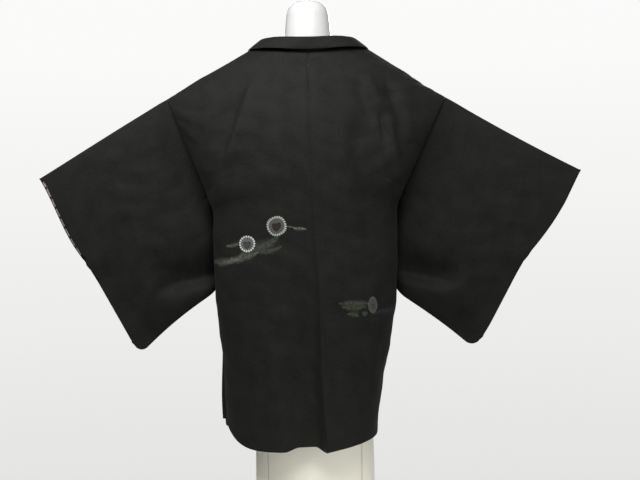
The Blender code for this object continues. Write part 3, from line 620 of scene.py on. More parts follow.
@dataclass
class Cloth:
    """A closed thin shell over a grid of points, with cloth coordinates in metres.

    inward holds the unit directions into the cloth.  across0 is where each row starts across the cloth.
    """

    name: str
    outer: Array
    inward: Array
    wall: float
    ring: bool = False
    across0: Array | float = 0.0
    rim_reach: float = 0.006

    def coordinates(self) -> Array:
        """Distances run across and along the cloth; a ring gets its first row once more."""
        closed = np.concatenate([self.outer, self.outer[:1]]) if self.ring else self.outer
        start = np.broadcast_to(np.reshape(self.across0, (-1, 1)), (closed.shape[0], 1))
        return np.stack([start + run_lengths(closed, 1), run_lengths(closed, 0)], axis=-1)

    def faces(self) -> tuple[Array, Array, Array]:
        """The shell's faces: outer ones, inner ones and the rim.

        Returns:
            Four corners, four cloth coordinates and the finish's number (0 out, 1 in) for every face.
        """
        rows, columns = self.outer.shape[:2]
        index = np.arange(rows * columns).reshape(rows, columns)
        index = np.concatenate([index, index[:1]]) if self.ring else index
        corners = np.concatenate([index[..., None], self.coordinates()], axis=-1)
        inner = corners + np.array([rows * columns, 0.0, 0.0])
        a, b, c, d = corners[:-1, :-1], corners[:-1, 1:], corners[1:, 1:], corners[1:, :-1]
        face = np.stack([a, b, c, d], axis=2).reshape(-1, 4, 3)
        back = face[:, ::-1] + np.array([rows * columns, 0.0, 0.0])
        rims = [(corners[:-1, 0], corners[1:, 0], inner[1:, 0], inner[:-1, 0])]
        rims.append((corners[1:, -1], corners[:-1, -1], inner[:-1, -1], inner[1:, -1]))
        if not self.ring:
            rims.append((corners[0, 1:], corners[0, :-1], inner[0, :-1], inner[0, 1:]))
            rims.append((corners[-1, :-1], corners[-1, 1:], inner[-1, 1:], inner[-1, :-1]))
        rim = np.concatenate([np.stack(one, axis=1) for one in rims])
        every = np.concatenate([face, back, rim])
        number = np.repeat([0, 1, 0], [len(face), len(back), len(rim)])
        start = self.outer[:-1, :-1]
        square = np.cross(self.outer[:-1, 1:] - start, self.outer[1:, :-1] - start)
        if np.sum(square * self.inward[:-1, :-1]) > 0.0:
            every = every[:, ::-1]
        return every[..., 0].astype(int), every[..., 1:], number

    def rim_share(self) -> Array:
        """1 at the cloth's edges, falling to 0 within `rim_reach` of them; the crepe's painted edge shade
        follows it.
        """
        across, along = run_lengths(self.outer, 1), run_lengths(self.outer, 0)
        nearest = np.minimum(across, across[:, -1:] - across)
        if not self.ring:
            nearest = np.minimum(nearest, np.minimum(along, along[-1:] - along))
        return smooth(1.0 - nearest / self.rim_reach)

    def build(self, *finishes: Finish) -> Piece:
        """Makes the shell.

        Args:
            finishes: The outer face's finish and, where it differs, the inner face's.

        Returns:
            The new object, with the UV map "cloth" and the attribute "rim".
        """
        inner = self.outer + self.wall * self.inward
        points = np.concatenate([self.outer.reshape(-1, 3), inner.reshape(-1, 3)])
        corners, places, number = self.faces()
        piece = add_mesh(self.name, points, corners.tolist())
        mesh = piece.data
        mesh.uv_layers.new(name="cloth").uv.foreach_set("vector", places.reshape(-1).astype(np.float32))
        mesh.polygons.foreach_set("material_index", number.astype(np.int32))
        rim = mesh.attributes.new("rim", "FLOAT", "POINT")
        rim.data.foreach_set("value", np.tile(self.rim_share().reshape(-1), 2).astype(np.float32))
        for finish in finishes:
            mesh.materials.append(finish)
        mesh.update()
        return piece


def edge_roll(distance: Array, depth: float = 0.0006, width: float = 0.0018) -> Array:
    """How far cloth rolls inwards at a sewn or folded edge: a bell of its distance from the edge."""
    return -depth * np.exp(-((distance / width) ** 2))


@dataclass
class Stitches:
    """A row of short threads that bulge out of the cloth along a path."""

    name: str
    path: Array
    outward: Array
    spacing: float
    length: float
    radius: float = 0.00028
    crosswise: bool = False
    strands: int = 1
    strand_gap: float = 0.0010
    rings: int = 7
    sides: int = 6
    least_end: float = 0.02
    arch: float = 1.6

    def build(self, finish: Finish) -> Piece:
        """Makes the threads: capsules on a low arch, at even distances down the path.

        Args:
            finish: The thread's finish.

        Returns:
            One object that holds every thread.
        """
        run = np.concatenate([[0.0], np.cumsum(np.linalg.norm(np.diff(self.path, axis=0), axis=1))])
        strands = (np.arange(self.strands) - (self.strands - 1) / 2) * self.strand_gap
        places = (np.arange(self.spacing / 2, run[-1], self.spacing)[:, None] + strands).ravel()
        centre, normal, along = (
            np.stack([np.interp(places, run, values[:, axis]) for axis in range(3)], axis=-1)
            for values in (self.path, self.outward, np.gradient(self.path, axis=0))
        )
        normal, along = unit(normal), unit(along)
        aside = np.cross(normal, along)
        if self.crosswise:
            along, aside = aside, along
        share = np.linspace(-1.0, 1.0, self.rings)[:, None]
        turn = full_turn(self.sides)
        thick = self.radius * np.sqrt(np.maximum(1.0 - share**4, self.least_end))
        lift = self.radius * (1.0 - self.arch * share**2) + thick * np.cos(turn)
        run_out = np.broadcast_to(share * self.length / 2, lift.shape)
        points = centre[:, None, None]
        for amount, way in ((run_out, along), (lift, normal), (thick * np.sin(turn), aside)):
            points = points + amount[None, ..., None] * way[:, None, None]
        index = np.arange(points[..., 0].size).reshape(points.shape[:3])
        right = np.roll(index, -1, axis=2)
        quads = np.stack([index[:, :-1], right[:, :-1], right[:, 1:], index[:, 1:]], axis=-1).reshape(-1, 4)
        caps = index[:, 0, ::-1].tolist() + index[:, -1].tolist()
        piece = add_mesh(self.name, points.reshape(-1, 3), quads.tolist() + caps)
        piece.data.materials.append(finish)
        return declare(piece, "black_crepe")


# ---------------------------------------------------------------- body panels and gussets
@dataclass
class BodyPanel:
    """One side's strip of crepe: up the back, over the shoulder and down the front."""

    shape: BodyShape
    folds: tuple[Fold, ...]
    step: float = 0.0031
    width: float = 0.30
    cut: tuple[float, float] = (0.36, 1.66)
    cut_area: float = 0.44
    pleat_depth: float = 0.024
    pleat_place: float = 0.024
    pleat_top: float = 1.24
    pleat_power: float = 1.3
    seam_proud: float = 0.004
    seam_ease_left: float = 0.005
    seam_ease_right: float = 0.014
    waves: float = 2.0
    wave_height: float = 0.013
    wave_top: float = 1.18
    wave_growth: float = 0.55
    calm: float = 0.2
    still: float = 0.03
    hem_moves: float = 0.3
    settled_z: float = 1.30
    settled_reach: float = 0.04
    settled_share: float = 0.8
    ripple_start: float = 1.7
    hem_roll: float = 0.0007
    collar_overlap: float = 0.002
    nearest: int = 81
    ripples: Ripples = field(default_factory=Ripples)
    outer: Array = field(init=False)
    inward: Array = field(init=False)

    def __post_init__(self) -> None:
        """Works out the panel's points, because the motif, gusset and stitches use them."""
        self.outer, self.inward = self.surface()

    def across(self) -> Array:
        """The columns, spread so that the rounded panel gets even steps near both of its edges."""
        share = graded(self.width, self.step, EDGE_PLACES)
        near = 0.5 * (2.0 * np.minimum(share, 1.0 - share)) ** (1.0 / self.shape.roundness)
        return np.where(share < 0.5, near, 1.0 - near)

    def folded(self, points: Array, across: Array, layer: Layer) -> Array:
        """Moves one layer's points in and out: its folds, the back's pleat and the front's soft waves.

        The pleat is deepest `pleat_place` from the middle seam and fades with an exponential; the waves are
        sines across the front that grow towards the hem.

        Args:
            points: The layer's points.
            across: Its columns, from the inner edge (0) to the side (1).
            layer: Back or front.

        Returns:
            The moved points.
        """
        side = self.shape.side
        outward = -normals_of(points, points * np.array([0.0, 0.0, 1.0]))
        height = points[..., 2]
        calm = smooth((1.0 - across) / self.calm)
        if layer is Layer.FRONT:
            growth = smooth((self.wave_top - height) / self.wave_growth)
            wave = np.sin(FULL * self.waves * across) * calm * smooth(across / self.calm)
            return points + (self.wave_height * growth * wave[None, :])[..., None] * outward
        rise = sum(fold.lift(side.sign * points[..., 0], height) for fold in self.folds) * calm[None, :]
        from_seam = points[..., 0] - points[:, :1, 0]
        growth = (self.pleat_top - height) / (self.pleat_top - self.shape.back_hem)
        growth = np.clip(growth, 0.0, 1.0) ** self.pleat_power
        ease = self.seam_ease_left if side is LEFT else self.seam_ease_right
        rise = rise + self.seam_proud * growth * np.exp(-from_seam / ease)
        if side is LEFT:
            share = from_seam / self.pleat_place
            rise = rise - self.pleat_depth * growth * share * np.exp(1.0 - share)
        return points + rise[..., None] * outward

    def surface(self) -> tuple[Array, Array]:
        """The panel from the back's hem over the shoulder to the front's hem.

        Returns:
            The grid of points in the side's own x, and the directions into the cloth.
        """
        shape = self.shape
        across, parts, turns = self.across(), shape.parts(), shape.turns()[::-1]
        front_turns = turns[:: shape.front_every]
        layers = []
        for layer, rows in zip(Layer, (turns, front_turns)):
            points = [shape.lower(parts, across, layer), shape.upper(rows, across, layer)[1:]]
            layers.append(self.folded(np.concatenate(points), across, layer))
        grid = np.concatenate([layers[0], layers[1][::-1][1:]])
        middle = grid * np.array([0.0, 0.0, 1.0])
        grid = grid + self.fine_relief(grid)[..., None] * -normals_of(grid, middle)
        inward = normals_of(grid, middle)
        below, shoulder = len(parts) - 1, len(parts) + len(turns) - 2
        inward[below : shoulder + 1, -1] = shape.armhole(turns, Layer.BACK)[1]
        front_seam = slice(shoulder, shoulder + len(front_turns))
        inward[front_seam, -1] = shape.armhole(front_turns[::-1], Layer.FRONT)[1]
        seam = slice(0, shoulder - shape.rows_neck + 2)
        inward[seam, 0] = unit(inward[seam, 0] * np.array([0.0, 1.0, 1.0]))
        return grid, inward

    def fine_relief(self, grid: Array) -> Array:
        """Low ripples that are still near edges and on the shoulders, and rolled edges.

        Args:
            grid: The panel's points.

        Returns:
            The rise at each point.
        """
        across, along = run_lengths(grid, 1), run_lengths(grid, 0)
        from_side = np.minimum(across, across[:, -1:] - across)
        from_hem = np.minimum(along, along[-1:] - along)
        free = smooth(from_side / self.still) * smooth(from_hem / self.still + self.hem_moves)
        resting = smooth((grid[..., 2] - self.settled_z) / self.settled_reach)
        free = free * (1.0 - self.settled_share * resting)
        rise = self.ripples.lift(across, along, self.ripple_start + self.shape.side.sign) * free
        return rise + edge_roll(from_side) + edge_roll(from_hem, self.hem_roll)

    def back_rows(self) -> int:
        """How many rows the back has, from its hem to the shoulder."""
        return len(self.shape.parts()) + len(self.shape.turns()) - 1

    def cloth(self) -> Cloth:
        """The panel as a shell in the world."""
        inner_x = self.outer[:, 0, 0]
        above = self.outer[:, 0, 2] > self.shape.neck_seam_z - self.collar_overlap
        front = np.arange(len(inner_x)) >= self.back_rows()
        across0 = np.where(above | front, inner_x, 0.0)
        side = self.shape.side
        world = side.to_world(self.outer, self.inward)
        return Cloth("body_cloth_" + side.name, *world, self.shape.wall, across0=across0)

    def cloth_place(self, x: float, z: float) -> tuple[Array, Array]:
        """Cloth coordinates of the back's place at world x and height z.

        Args:
            x: World x.
            z: Height.

        Returns:
            The coordinates and their changes with x and z, from a plane fitted to the nearest points.
        """
        cloth = self.cloth()
        half = slice(0, self.back_rows())
        points = cloth.outer[half].reshape(-1, 3)
        places = cloth.coordinates()[half].reshape(-1, 2)
        near = np.argsort(np.hypot(points[:, 0] - x, points[:, 2] - z))[: self.nearest]
        terms = np.stack([np.ones(len(near)), points[near, 0] - x, points[near, 2] - z], axis=-1)
        fit = np.linalg.lstsq(terms, places[near], rcond=None)[0]
        return fit[0], fit[1:]

    def build(self, outside: Finish, inside: Finish) -> Piece:
        """Args:
            outside: The painted finish.
            inside: The finish of the inner face.

        Returns:
            The new object.
        """
        name = "body_" + self.shape.side.name
        piece = declare(self.cloth().build(outside, inside), "black_crepe", name + "_back", name + "_front")
        return piece


@dataclass
class Gusset:
    """The narrow strip under an arm, between back and front, folded inwards along its middle."""

    panel: BodyPanel
    cut: tuple[float, float]
    cut_area: float
    least_tuck: float = 0.004
    tuck_power: float = 0.8
    floor: float = 0.02
    columns: int = 17
    edge: float = 0.03
    rows_short: int = 3

    def surface(self) -> tuple[Array, Array]:
        """A valley between the panels' side edges, shallower up the strip and round at its floor.

        Returns:
            The grid of points and the directions into the cloth.
        """
        shape, side = self.panel.shape, self.panel.shape.side
        parts = shape.parts()[: -self.rows_short]
        height = side.hem_side + (side.arm_z - side.hem_side) * parts
        back, front = (shape.ring(height, 1.0, layer) for layer in Layer)
        toward = unit(front - back)
        back, front = back + shape.seam_gap * toward, front - shape.seam_gap * toward
        tuck = side.tuck * (1.0 - parts)[:, None] ** self.tuck_power + self.least_tuck
        share = graded(1.0, 1.0 / self.columns, (0.0, self.edge))[None, :, None]
        dip = 1.0 - np.sqrt((2.0 * share - 1.0) ** 2 + self.floor) / np.sqrt(1.0 + self.floor)
        inwards = (tuck * np.array([1.0, 0.0, 0.0]))[:, None, :] * dip
        grid = back[:, None, :] * (1.0 - share) + front[:, None, :] * share - inwards
        inward = normals_of(grid, grid * np.array([0.0, 1.0, 1.0]))
        inward[:, 0] = self.panel.inward[: len(parts), -1]
        inward[:, -1] = self.panel.inward[::-1][: len(parts), -1]
        return grid, inward

    def build(self, finish: Finish) -> Piece:
        """Args:
            finish: The cloth's finish.

        Returns:
            The new object.
        """
        side = self.panel.shape.side
        world = side.to_world(*self.surface())
        cloth = Cloth("gusset_cloth_" + side.name, *world, self.panel.shape.wall)
        piece = declare(cloth.build(finish), "black_crepe", "gusset_" + side.name)
        return piece


# ---------------------------------------------------------------- sleeves
@dataclass
class Sleeve:
    """A wide, nearly flat tube of crepe, open at the armhole, the cuff and the free inner edge."""

    shape: BodyShape
    folds: tuple[Fold, ...]
    width: float = 0.330
    drop: float = 0.440
    corner_radius: float = 0.028
    puff: float = 0.016
    cuff_puff: float = 0.009
    lens_power: float = 3.0
    sewn_start: float = 0.72
    sewn_span: float = 0.24
    opening_corner: float = 0.012
    opening_span: float = 0.060
    armhole_blend: float = 0.30
    free_edge_half: float = 0.004
    free_edge_close: float = 0.03
    soft_end: float = 0.030
    soft_from: float = 0.12
    soft_places: int = 9
    notch_reach: float = 0.15
    bulge_fall: float = 0.5
    wrap_start: float = 0.014
    wrap_radius: float = 0.026
    wrap_most: float = 80.0
    wrap_ease: float = 0.040
    fold_ease: float = 0.06
    step: float = 0.0042
    rows_below: int = 56
    bottom_rows: tuple[float, ...] = (0.0, 0.01, 0.025)
    row_power: float = 1.05
    still_edge: float = 0.055
    still_fold: float = 0.05
    ripple_start: float = 4.1
    facing_turns: tuple[float, float] = (16.0, 80.0)
    facing_grid: tuple[int, int] = (61, 13)
    facing_width: float = 0.024
    facing_wall: float = 0.0010
    lap_top: tuple[float, float] = (0.002, 0.012)
    lap_bottom: tuple[float, float] = (0.010, 0.030)
    loop_spacing: float = 0.0235
    loop_over: float = 0.0010
    loop_rows: int = 81
    loop_strands: int = 5
    loop_radius: float = 0.0006
    strip: float = 0.0030
    ripples: Ripples = field(default_factory=Ripples)

    def length(self, across: Array) -> Array:
        """How far down the cloth reaches: its full drop, less a quarter round at the lower outer corner."""
        into = np.clip((across - 1.0) * self.width + self.corner_radius, 0.0, self.corner_radius)
        return self.drop - self.corner_radius + np.sqrt(self.corner_radius**2 - into**2)

    def plane(self, across: Array, drop: Array) -> tuple[Array, Array]:
        """Where the flat sleeve hangs: straight lines between its four corners, curved at the cuff.

        Args:
            across: Places from the seam (0) to the cuff (1).
            drop: How far down the cloth.

        Returns:
            The side's own x, and the height.
        """
        shape, side = self.shape, self.shape.side
        arm = shape.armhole_drop
        top_x = side.tip_x + (side.cuff_x - side.tip_x) * across + shape.seam_gap
        near_x = (side.arm_x - side.tip_x) * self.drop / arm
        near_z = (side.arm_z - shape.ridge(side.tip_x)) * self.drop / arm
        fall_x = near_x + (side.corner_x - side.cuff_x - near_x) * across
        fall_z = near_z + (side.corner_z - shape.ridge(side.cuff_x) - near_z) * across
        below = smooth((drop - arm) / (self.drop - arm))
        part = (drop - side.lift * (1.0 - across**3) * below) / self.drop
        bulge = side.bulge * np.sin(np.pi * np.clip(drop / arm, 0.0, 1.0) ** side.cuff_skew)
        dent = np.clip(1.0 - np.abs(drop - arm) / self.notch_reach, 0.0, 1.0)
        bulge = (bulge - side.notch * dent) * across**3
        z = shape.ridge(top_x) + fall_z * part - self.bulge_fall * bulge
        return top_x + fall_x * part + bulge, z

    def half(self, across: Array, drop: Array) -> Array:
        """Half the sleeve's thickness: the armhole's lens at the body, a flatter one further out.

        Args:
            across: Places from the seam (0) to the cuff (1).
            drop: How far down the cloth.

        Returns:
            The half thicknesses.
        """
        shape, arm = self.shape, self.shape.armhole_drop
        length = self.length(across)
        lens = np.sqrt(1.0 - np.abs(2.0 * np.clip(drop / length, 0.0, 1.0) - 1.0) ** self.lens_power)
        own = (self.puff + (self.cuff_puff - self.puff) * smooth(across)) * lens
        sewn = smooth((drop - arm + self.opening_corner) / self.opening_span)
        own = own * (1.0 - smooth((across - self.sewn_start) / self.sewn_span) * sewn)
        free = self.free_edge_half * np.sqrt(np.clip((length - drop) / self.free_edge_close, 0.0, 1.0))
        edges = []
        for offset in np.linspace(-1.0, 1.0, self.soft_places):
            place = drop + offset * self.soft_end * smooth(across / self.soft_from)
            puff = shape.puff(np.arccos(np.clip(1.0 - place / arm, 0.0, 1.0)))
            edges.append(np.where(place < arm, puff, free))
        near = np.clip(1.0 - across / self.armhole_blend, 0.0, 1.0) ** 2
        half = np.maximum(own + (np.mean(edges, axis=0) - own) * near, shape.wall + shape.seam_gap)
        return np.where((drop <= 0.0) | (drop >= length), 0.0, half)

    def point(self, across: Array, drop: Array, layer: Layer) -> Array:
        """A point of the sleeve.  Below the armhole the part nearest the body bends forwards round its side:
        it follows an arc up to `wrap_most` and then runs on straight.

        Args:
            across: Places from the seam (0) to the cuff (1).
            drop: How far down the cloth.
            layer: Back or front.

        Returns:
            The points in the side's own x.
        """
        side, below = self.shape.side, drop - self.shape.armhole_drop
        flat_x, z = self.plane(across, drop)
        x = flat_x + self.shape.seam_gap * (1.0 - across)
        bend_x = side.arm_x + self.wrap_start
        past = np.maximum(bend_x - x, 0.0)
        angle = np.minimum(past / self.wrap_radius, np.radians(self.wrap_most))
        rest = past - self.wrap_radius * angle
        bent_x = bend_x - self.wrap_radius * np.sin(angle) - rest * np.cos(angle)
        bent_y = self.wrap_radius * (1.0 - np.cos(angle)) + rest * np.sin(angle)
        loose = smooth(below / self.wrap_ease)
        x = x + (np.where(past > 0.0, bent_x, x) - x) * loose
        rise = sum(fold.lift(side.sign * flat_x, z) for fold in self.folds)
        y = bent_y * loose - rise * smooth(below / self.fold_ease)
        half = self.half(across, drop) * layer.value
        return np.stack([x + half * np.sin(angle * loose), y + half * np.cos(angle * loose), z], axis=-1)

    def drops(self, across: Array) -> Array:
        """Places down the sleeve: with the seam's turns at first, then evenly to the bottom.

        Args:
            across: The columns, from the seam (0) to the cuff (1).

        Returns:
            The places, rows by columns.
        """
        arm = self.shape.armhole_drop
        upper = (arm * (1.0 - np.cos(np.radians(self.shape.turns()))))[:, None]
        share = graded(1.0, 1.0 / self.rows_below, self.bottom_rows)[1:, None] ** self.row_power
        lower = arm + (self.length(across)[None, :] - arm) * share
        return np.concatenate([upper * np.ones_like(across)[None, :], lower])

    def back_short(self, drop: Array) -> Array:
        """How much shorter the back layer is at the cuff's opening, as a share of the sleeve's width."""
        above = smooth((drop - self.lap_top[0]) / (self.lap_top[1] - self.lap_top[0]))
        below = self.shape.armhole_drop - self.lap_bottom[0] - drop
        below = smooth(below / (self.lap_bottom[1] - self.lap_bottom[0]))
        return self.shape.side.lap / self.width * above * below

    def surface(self) -> tuple[Array, Array]:
        """The tube as a ring of rows: up the back from the bottom, over the top fold and down the front.

        Returns:
            The grid of points and the directions into the cloth.
        """
        across = graded(self.width, self.step, EDGE_PLACES)
        drops = self.drops(across)
        back = self.point(across[None, :] * (1.0 - self.back_short(drops)), drops, Layer.BACK)
        front = self.point(across[None, :], drops, Layer.FRONT)
        middle = (back + front) / 2
        grid, inside, down = (
            np.concatenate([rear[::-1], fore[1:-1]])
            for rear, fore in ((back, front), (middle, middle), (drops, drops))
        )
        grid = grid - self.fine_relief(grid, across, down)[..., None] * normals_of(grid, inside, ring=True)
        inward = normals_of(grid, inside, ring=True)
        turns, last = self.shape.turns(), len(drops) - 1
        for layer in Layer:
            rows = last + np.arange(len(turns)) * int(layer.value)
            inward[rows, 0] = self.shape.armhole(turns, layer)[1]
        return grid, inward

    def fine_relief(self, grid: Array, across: Array, down: Array) -> Array:
        """Low ripples that are still near edges and folds, and rolled edges at the seam and the cuff.

        Args:
            grid: The sleeve's points.
            across: Its columns.
            down: How far down each point is.

        Returns:
            The rise at each point.
        """
        from_edge = np.minimum(across, 1.0 - across) * self.width
        from_fold = np.minimum(down, self.length(across)[None, :] - down)
        free = smooth(from_edge / self.still_edge)[None, :] * smooth(from_fold / self.still_fold)
        start = self.ripple_start + self.shape.side.sign
        rise = self.ripples.lift(across[None, :] * self.width, run_lengths(grid, 0), start) * free
        return rise + edge_roll(from_edge)[None, :]

    def build(self, finish: Finish) -> Piece:
        """Args:
            finish: The cloth's finish.

        Returns:
            The new object.
        """
        side = self.shape.side
        world = side.to_world(*self.surface())
        cloth = Cloth("sleeve_cloth_" + side.name, *world, self.shape.wall, ring=True)
        piece = declare(cloth.build(finish), "black_crepe", "sleeve_" + side.name)
        return piece

    def build_loops(self, thread: Finish) -> Piece:
        """Makes the groups of loops over the pale strip of the front layer.

        Args:
            thread: The loops' finish.

        Returns:
            The new object.
        """
        last = self.shape.armhole_drop - self.lap_bottom[1]
        drops = np.linspace(self.lap_top[1], last, self.loop_rows)[:, None]
        edge = np.full_like(drops, 1.0 + (self.shape.side.proud - 0.5 * self.strip) / self.width)
        line = self.point(edge, drops, Layer.FRONT)[:, 0]
        line[:, 1] -= self.shape.wall + self.shape.seam_gap + self.facing_wall
        world = self.shape.side.to_world(line, np.broadcast_to((0.0, -1.0, 0.0), line.shape))
        name, length = "cuff_loops_" + self.shape.side.name, self.strip + self.loop_over
        loops = Stitches(name, *world, self.loop_spacing, length, self.loop_radius, crosswise=True,
                         strands=self.loop_strands)
        return loops.build(thread)

    def build_facing(self, layer: Layer, finish: Finish) -> Piece:
        """Args:
            layer: Back or front.
            finish: The strip's finish.

        Returns:
            The new object.
        """
        shape, side = self.shape, self.shape.side
        rows, columns = self.facing_grid
        across = np.linspace(self.width - self.facing_width, self.width + side.proud, columns) / self.width
        turns = np.radians(np.linspace(*self.facing_turns, rows))
        drops = shape.armhole_drop * (1.0 - np.cos(turns))[:, None] * np.ones_like(across)[None, :]
        places = across[None, :] * (1.0 - self.back_short(drops) * (layer is Layer.BACK))
        outer = self.point(places, drops, layer)
        inward = normals_of(outer, self.point(places, drops, Layer(-layer.value)))
        outer = outer + (shape.wall + shape.seam_gap) * inward
        label = side.name + "_" + layer.name.lower()
        cloth = Cloth("cuff_lining_" + label, *side.to_world(outer, inward), self.facing_wall)
        piece = declare(cloth.build(finish), "pale_lining", "cuff_facing_" + label)
        return piece


# ---------------------------------------------------------------- collar
@dataclass
class Collar:
    """The long band from one front hem round the neck to the other, folded outwards behind the neck."""

    shapes: tuple[BodyShape, BodyShape]
    stand_middle: float = 0.0285
    stand_side: float = 0.0195
    width: float = 0.055
    length: float = 2.12
    fold_radius: float = 0.0015
    turn_middle: float = 165.0
    turn_side: float = 82.0
    turn_chest: float = 36.0
    least_turn: float = 1e-3
    swing_end: float = 60.0
    open_start: float = 12.0
    open_span: float = 72.0
    lean_end: float = 84.0
    seam_gap: float = 0.0002
    flat_step: float = 0.012
    inner_step: float = 0.01
    up_middle: Triple = (0.0, -0.22, 0.97)
    up_side: Triple = (0.70, 0.0, 0.71)
    crown: float = 0.0007
    step: float = 0.0035
    edge_places: tuple[float, ...] = (0.0, 0.0006, 0.0014, 0.0026)
    fold_places: tuple[float, float, int] = (-0.002, 0.006, 9)

    def half(self, shape: BodyShape) -> tuple[Array, Array]:
        """One half, from the middle of the neck to the hem, as rows across the band.

        At each place on the panel's edge the band runs `stand` along its own upward direction, turns round a
        small arc and runs on straight to its full width.  The turn falls from `turn_middle` behind the neck
        to nothing on the chest, where the band lies flat and goes on from the panel.

        Args:
            shape: The shape of the half's side.

        Returns:
            The grid of points and each row's sideways direction.
        """
        chest_turns, neck_turns = shape.turns()[1:], shape.turns()[shape.rows_neck - 1 :: -1]
        parts = shape.parts()[::-1][1:]
        neck = shape.back_inner(neck_turns)
        neck[0] = (0.0, -shape.neck_seam_depth, shape.neck_seam_z)
        hem = float(shape.hem(0.0, Layer.FRONT))
        low = shape.ring(hem + (shape.underarm_z - hem) * parts, 0.0, Layer.FRONT)
        line = np.concatenate([neck, shape.front_inner(chest_turns), low])
        edge = np.array([0.0, self.flat_step])
        rows = shape.upper(chest_turns, edge, Layer.FRONT), shape.lower(parts, edge, Layer.FRONT)
        flat = unit(np.concatenate([row[:, 0] - row[:, 1] for row in rows]))
        round_neck = np.sin(QUARTER * (1.0 - neck_turns / shape.neck_turn)) ** 2
        middle_up, side_up = np.array(self.up_middle), np.array(self.up_side)
        stand_up = middle_up + round_neck[:, None] * (side_up - middle_up)
        side_up = unit(side_up)
        ease = np.clip(chest_turns / self.swing_end, 0.0, 1.0)
        ease = np.concatenate([ease, np.ones(len(parts))])[:, None]
        spread = np.arccos(np.clip(flat @ side_up, -1.0, 1.0))[:, None]
        swung = (np.sin((1.0 - ease) * spread) * side_up + np.sin(ease * spread) * flat) / np.sin(spread)
        run = np.gradient(line, axis=0)
        run[0] = (1.0, 0.0, 0.0)
        run = unit(run)
        up = np.concatenate([stand_up, swung])
        up = unit(up - np.sum(up * run, axis=-1, keepdims=True) * run)
        out = np.cross(run, up)
        open_out = 1.0 - smooth((chest_turns - self.open_start) / self.open_span)
        lean_back = np.sin(np.pi * np.clip(chest_turns / self.lean_end, 0.0, 1.0))
        by_neck = self.turn_middle + (self.turn_side - self.turn_middle) * round_neck
        by_chest = self.turn_side * open_out + self.turn_chest * lean_back
        turn = self.least_turn + np.radians(np.concatenate([by_neck, by_chest, np.zeros(len(parts))]))
        stand = np.full(len(line), self.stand_side)
        stand[: len(neck)] += (self.stand_middle - self.stand_side) * (1.0 - round_neck)
        along, aside = self.profile(stand[:, None], turn[:, None])
        return line[:, None] + along[..., None] * up[:, None] + aside[..., None] * out[:, None], out

    def profile(self, stand: Array, turn: Array) -> tuple[Array, Array]:
        """The band's cross-section: straight, an arc, straight again, with a low crown across it.

        Args:
            stand: How far each row stands before its fold.
            turn: How far each row turns, in radians.

        Returns:
            Distances along the row's upward direction and aside from it, rows by columns.
        """
        places = graded(self.width, self.step, self.edge_places) * self.width
        bend = self.stand_middle + np.linspace(*self.fold_places)
        places = np.unique(np.round(np.concatenate([places, bend]), 5))[None, :]
        arc = self.fold_radius * np.radians(self.turn_middle)
        radius = arc / turn
        angle = np.clip((places - stand) / radius, 0.0, turn)
        rest = np.maximum(places - stand - arc, 0.0)
        crown = self.crown * np.sin(np.pi * places / self.width) + edge_roll(self.width - places)
        along = self.seam_gap + np.minimum(places, stand) + radius * np.sin(angle) + rest * np.cos(turn)
        aside = radius * (1.0 - np.cos(angle)) + rest * np.sin(turn)
        return along + crown * np.sin(angle), aside - crown * np.cos(angle)

    def surface(self) -> tuple[Array, Array]:
        """The whole band from the left hem to the right.

        Returns:
            The grid of points and the directions into the cloth.
        """
        left, right = (shape.side.to_world(*self.half(shape)) for shape in self.shapes)
        grid, out = (np.concatenate([one[::-1], other[1:]]) for one, other in zip(left, right))
        inward = normals_of(grid, grid - self.inner_step * out[:, None, :])
        return grid, inward * np.sign(np.sum(inward[:, 1] * -out, axis=-1))[:, None, None]

    def build(self, finish: Finish) -> Piece:
        """Args:
            finish: The cloth's finish.

        Returns:
            The new object.
        """
        cloth = Cloth("collar_band", *self.surface(), self.shapes[0].wall)
        piece = declare(cloth.build(finish), "black_crepe", "collar")
        return piece


# ---------------------------------------------------------------- dress form and stand
@dataclass
class Turned:
    """A closed body of level, rounded rings."""

    name: str
    solids: tuple[str, ...]
    slot: str
    rings: Table
    edge: float
    roundness: float = 1.0
    sides: int = 96
    step: float = 0.006
    eased_z: float = 9.0
    eased_reach: float = 0.03
    ease: float = 0.0
    edge_rows: tuple[float, ...] = (0.0, 0.0004, 0.0015, 0.0035)

    def build(self, finish: Finish) -> Piece:
        """Makes the body: x goes with the sine and depth with the cosine, both to the power `roundness`.

        Its ends are rounded by a quarter circle of radius `edge`, and above `eased_z` it is `ease` smaller.

        Args:
            finish: The body's finish.

        Returns:
            The new object, which stands for the solids.
        """
        low, high = self.rings.rows[0][0], self.rings.rows[-1][0]
        heights = low + (high - low) * graded(high - low, self.step, (*self.edge_rows, self.edge))
        into = np.clip(1.0 - np.minimum(heights - low, high - heights) / self.edge, 0.0, 1.0)
        inset = self.edge * (1.0 - np.sqrt(1.0 - into**2))
        inset = inset + self.ease * smooth((heights - self.eased_z) / self.eased_reach)
        turn = full_turn(self.sides)[None, :]
        columns = self.rings.names[1:]
        wide, back, front = ((self.rings.at(name, heights) - inset)[:, None] for name in columns)
        x = wide * power(np.sin(turn), self.roundness)
        y = np.where(np.cos(turn) > 0.0, front, back) * power(np.cos(turn), self.roundness)
        points = np.stack([x, y, np.broadcast_to(heights[:, None], x.shape)], axis=-1)
        piece = closed_loft(self.name, points)
        piece.data.materials.append(finish)
        return declare(piece, self.slot, *self.solids)


def round_rings(*rings: tuple[float, float]) -> Table:
    """Round rings, each given by its height and its radius."""
    return Table(RING_NAMES, tuple((height, radius, radius, radius) for height, radius in rings))


